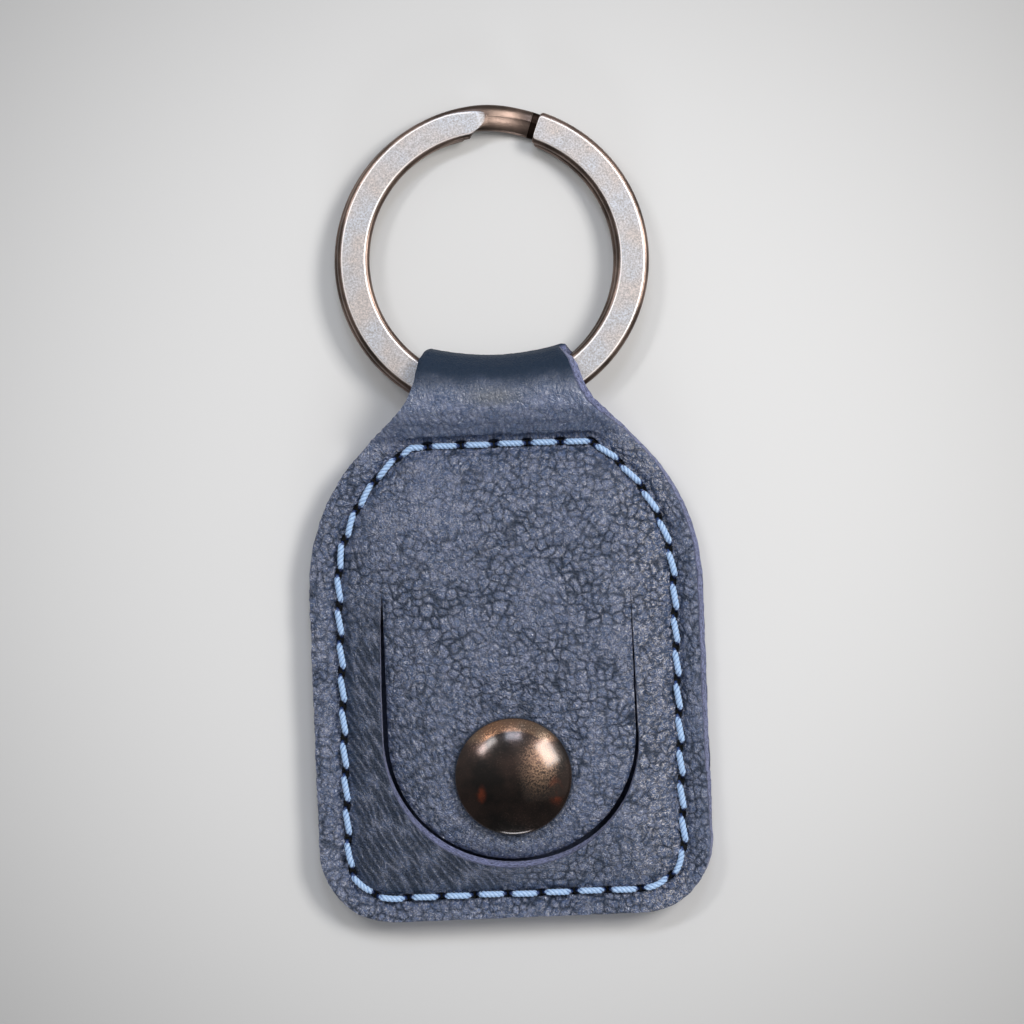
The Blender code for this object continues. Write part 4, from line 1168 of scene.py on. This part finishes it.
def gunmetal_plate():
    """Polished gunmetal plate: a dark brown mirror, scuffed by use, under clean clear lacquer."""
    material, add, shader = start_material("lacquered_gunmetal_plate")
    place = add("TexCoord", output="Object")
    flat_place = add("VectorMath", place, (1.0, 1.0, 0.0), operation="MULTIPLY")

    def spot(x, y, radius, stretch):
        """An oval patch on the dome: 1 in its middle, soft to 0 at its edge."""
        middle = [-stretch[0] * x * MM, -stretch[1] * y * MM, 0.0]
        oval = add("Mapping", flat_place, middle, Scale=(*stretch, 1.0))
        away = add("VectorMath", oval, operation="LENGTH")
        return add("MapRange", away, 0.0, radius * MM, 1.0, 0.0, **SOFT)

    cloud = add("TexNoise", Vector=place, Scale=300.0, Detail=3.0)
    spread = add("MapRange", cloud, 0.38, 0.62)
    plate = add("Mix", spread, "#2B2523", "#52403A", **COLOUR)
    # A warm band along the upper rim and two copper spots low on either side are painted
    # reflections.
    out = add("VectorMath", flat_place, [0.0, SNAP_Y * MM, 0.0], operation="DISTANCE")
    rim = add("MapRange", out, 4.5 * MM, 4.85 * MM, **SOFT)
    up = add("SeparateXYZ", place, output="Y")
    upper = add("MapRange", up, (SNAP_Y + 3.2) * MM, (SNAP_Y + 4.2) * MM, **SOFT)
    rim_reflection = add("Math", rim, upper, operation="MULTIPLY")
    warm_reflection = add("Mix", spread, "#8E6A52", "#7C695A", **COLOUR)
    tone = add("Mix", rim_reflection, plate, warm_reflection, **COLOUR)
    glow_breakup = add("TexNoise", Vector=place, Scale=700.0, Detail=3.0)
    broken = add("MapRange", glow_breakup, 0.44, 0.66)
    # The copper spots are painted reflections, broken up by noise.
    for x, radius in ((-3.4, 1.45), (4.25, 1.9)):
        painted_glow_spot = spot(x, SNAP_Y - 1.7, radius, (1.9, 1.0))
        wear_and_glow = add("Math", painted_glow_spot, broken, operation="MULTIPLY")
        tone = add("Mix", wear_and_glow, tone, "#B4583A", **COLOUR)
    # A thumb has dulled the right side with fine scuffs, which spread the light of the lamp there.
    # The scuffs there are also painted paler brown, a painted reflection of that lamp.
    scuffs = add("TexNoise", Vector=place, Scale=5200.0, Detail=3.0, Roughness=0.7)
    thumb = spot(2.5, SNAP_Y + 0.6, 2.8, (1.0, 0.7))
    scuffs_and_painted_reflection = add("Math", thumb, add("MapRange", scuffs, 0.40, 0.66), operation="MULTIPLY")
    rough = add("MapRange", scuffs, 0.42, 0.72, 0.12, 0.34)
    set_inputs(shader, {
        "Base Color": add("Mix", scuffs_and_painted_reflection, tone, "#9A7C66", **COLOUR),
        "Metallic": 1.0,
        "Roughness": add("Math", thumb, 0.22, rough, operation="MULTIPLY_ADD"),
        "Normal": add("Bump", 0.3, 0.00002, Height=scuffs),
        "Coat Weight": 0.7,
        "Coat Roughness": 0.14,
    })
    return material


dome = [(r, CAP_TOP - DOME_CURVE + math.sqrt(DOME_CURVE ** 2 - r ** 2))
        for r in np.linspace(DOME_RADIUS, 0.0, DOME_RINGS)]
under_dome = [(r * 0.93, h - 0.4) for r, h in dome[::-3]]
cap = turned("snap_cap", [*CAP_FOOT, *CAP_EDGE, *dome, *under_dome, *CAP_CRIMP], gunmetal_plate())
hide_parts("cap_shell")
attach(cap, "flap")


# Working parts of the snap. Pressed brass under plain nickel: the stud on the back panel, its post
# riveted through from behind, and the socket and spring inside the flap. Each is written as the
# (radius, height) of its section, with the CAD node and the body that it belongs to.
SNAP_PARTS = (
    ("stud", "snap_stud", "fob", (
        (1.5, 1.5), (4.1, 1.5), (4.2, 1.6), (4.2, 1.9), (4.1, 2.0), (1.95, 2.0), (1.9, 2.12),
        (1.9, 2.28), (2.02, 2.5), (2.1, 2.7), (2.08, 2.9), (1.98, 3.05), (1.75, 3.15), (0, 3.15),
        (0, 2.75), (1.5, 2.75))),
    ("stud_rivet", "stud_post", "fob", (
        (0.7, 0.1), (4.05, 0.1), (4.16, 0.14), (4.2, 0.25), (4.16, 0.36), (4.05, 0.4), (1.2, 0.4),
        (1.2, 2.45), (0, 2.45), (0, 2.15), (0.7, 2.15))),
    ("socket", "snap_socket", "flap", (
        (2.6, 2.3), (5.0, 2.3), (5.1, 2.42), (5.1, 4.25), (5.0, 4.4), (1.9, 4.4), (1.9, 4.0),
        (2.6, 4.0), (2.6, 3.3), (3.1, 3.3), (3.1, 2.6), (2.6, 2.6))),
)


def pressed_nickel():
    """Barrel-plated pressings: bright, with soft swirls and dull specks."""
    material, add, shader = start_material("barrel_plated_nickel")
    cloud = add("TexNoise", Vector=add("TexCoord", output="Object"), Scale=900.0, Detail=4.0)
    tone = add("Mix", cloud, "#8E8A86", "#C6C1BC", **COLOUR)
    rough = add("MapRange", cloud, 0.0, 1.0, 0.22, 0.45)
    set_inputs(shader, {"Base Color": tone, "Metallic": 1.0, "Roughness": rough})
    return material


nickel = pressed_nickel()
for name, node, ridden, profile in SNAP_PARTS:
    piece = turned(name, profile, nickel)
    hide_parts(node)
    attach(piece, ridden)
for node in ("cap_post", "socket_spring"):
    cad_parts[node].data.materials[0] = nickel
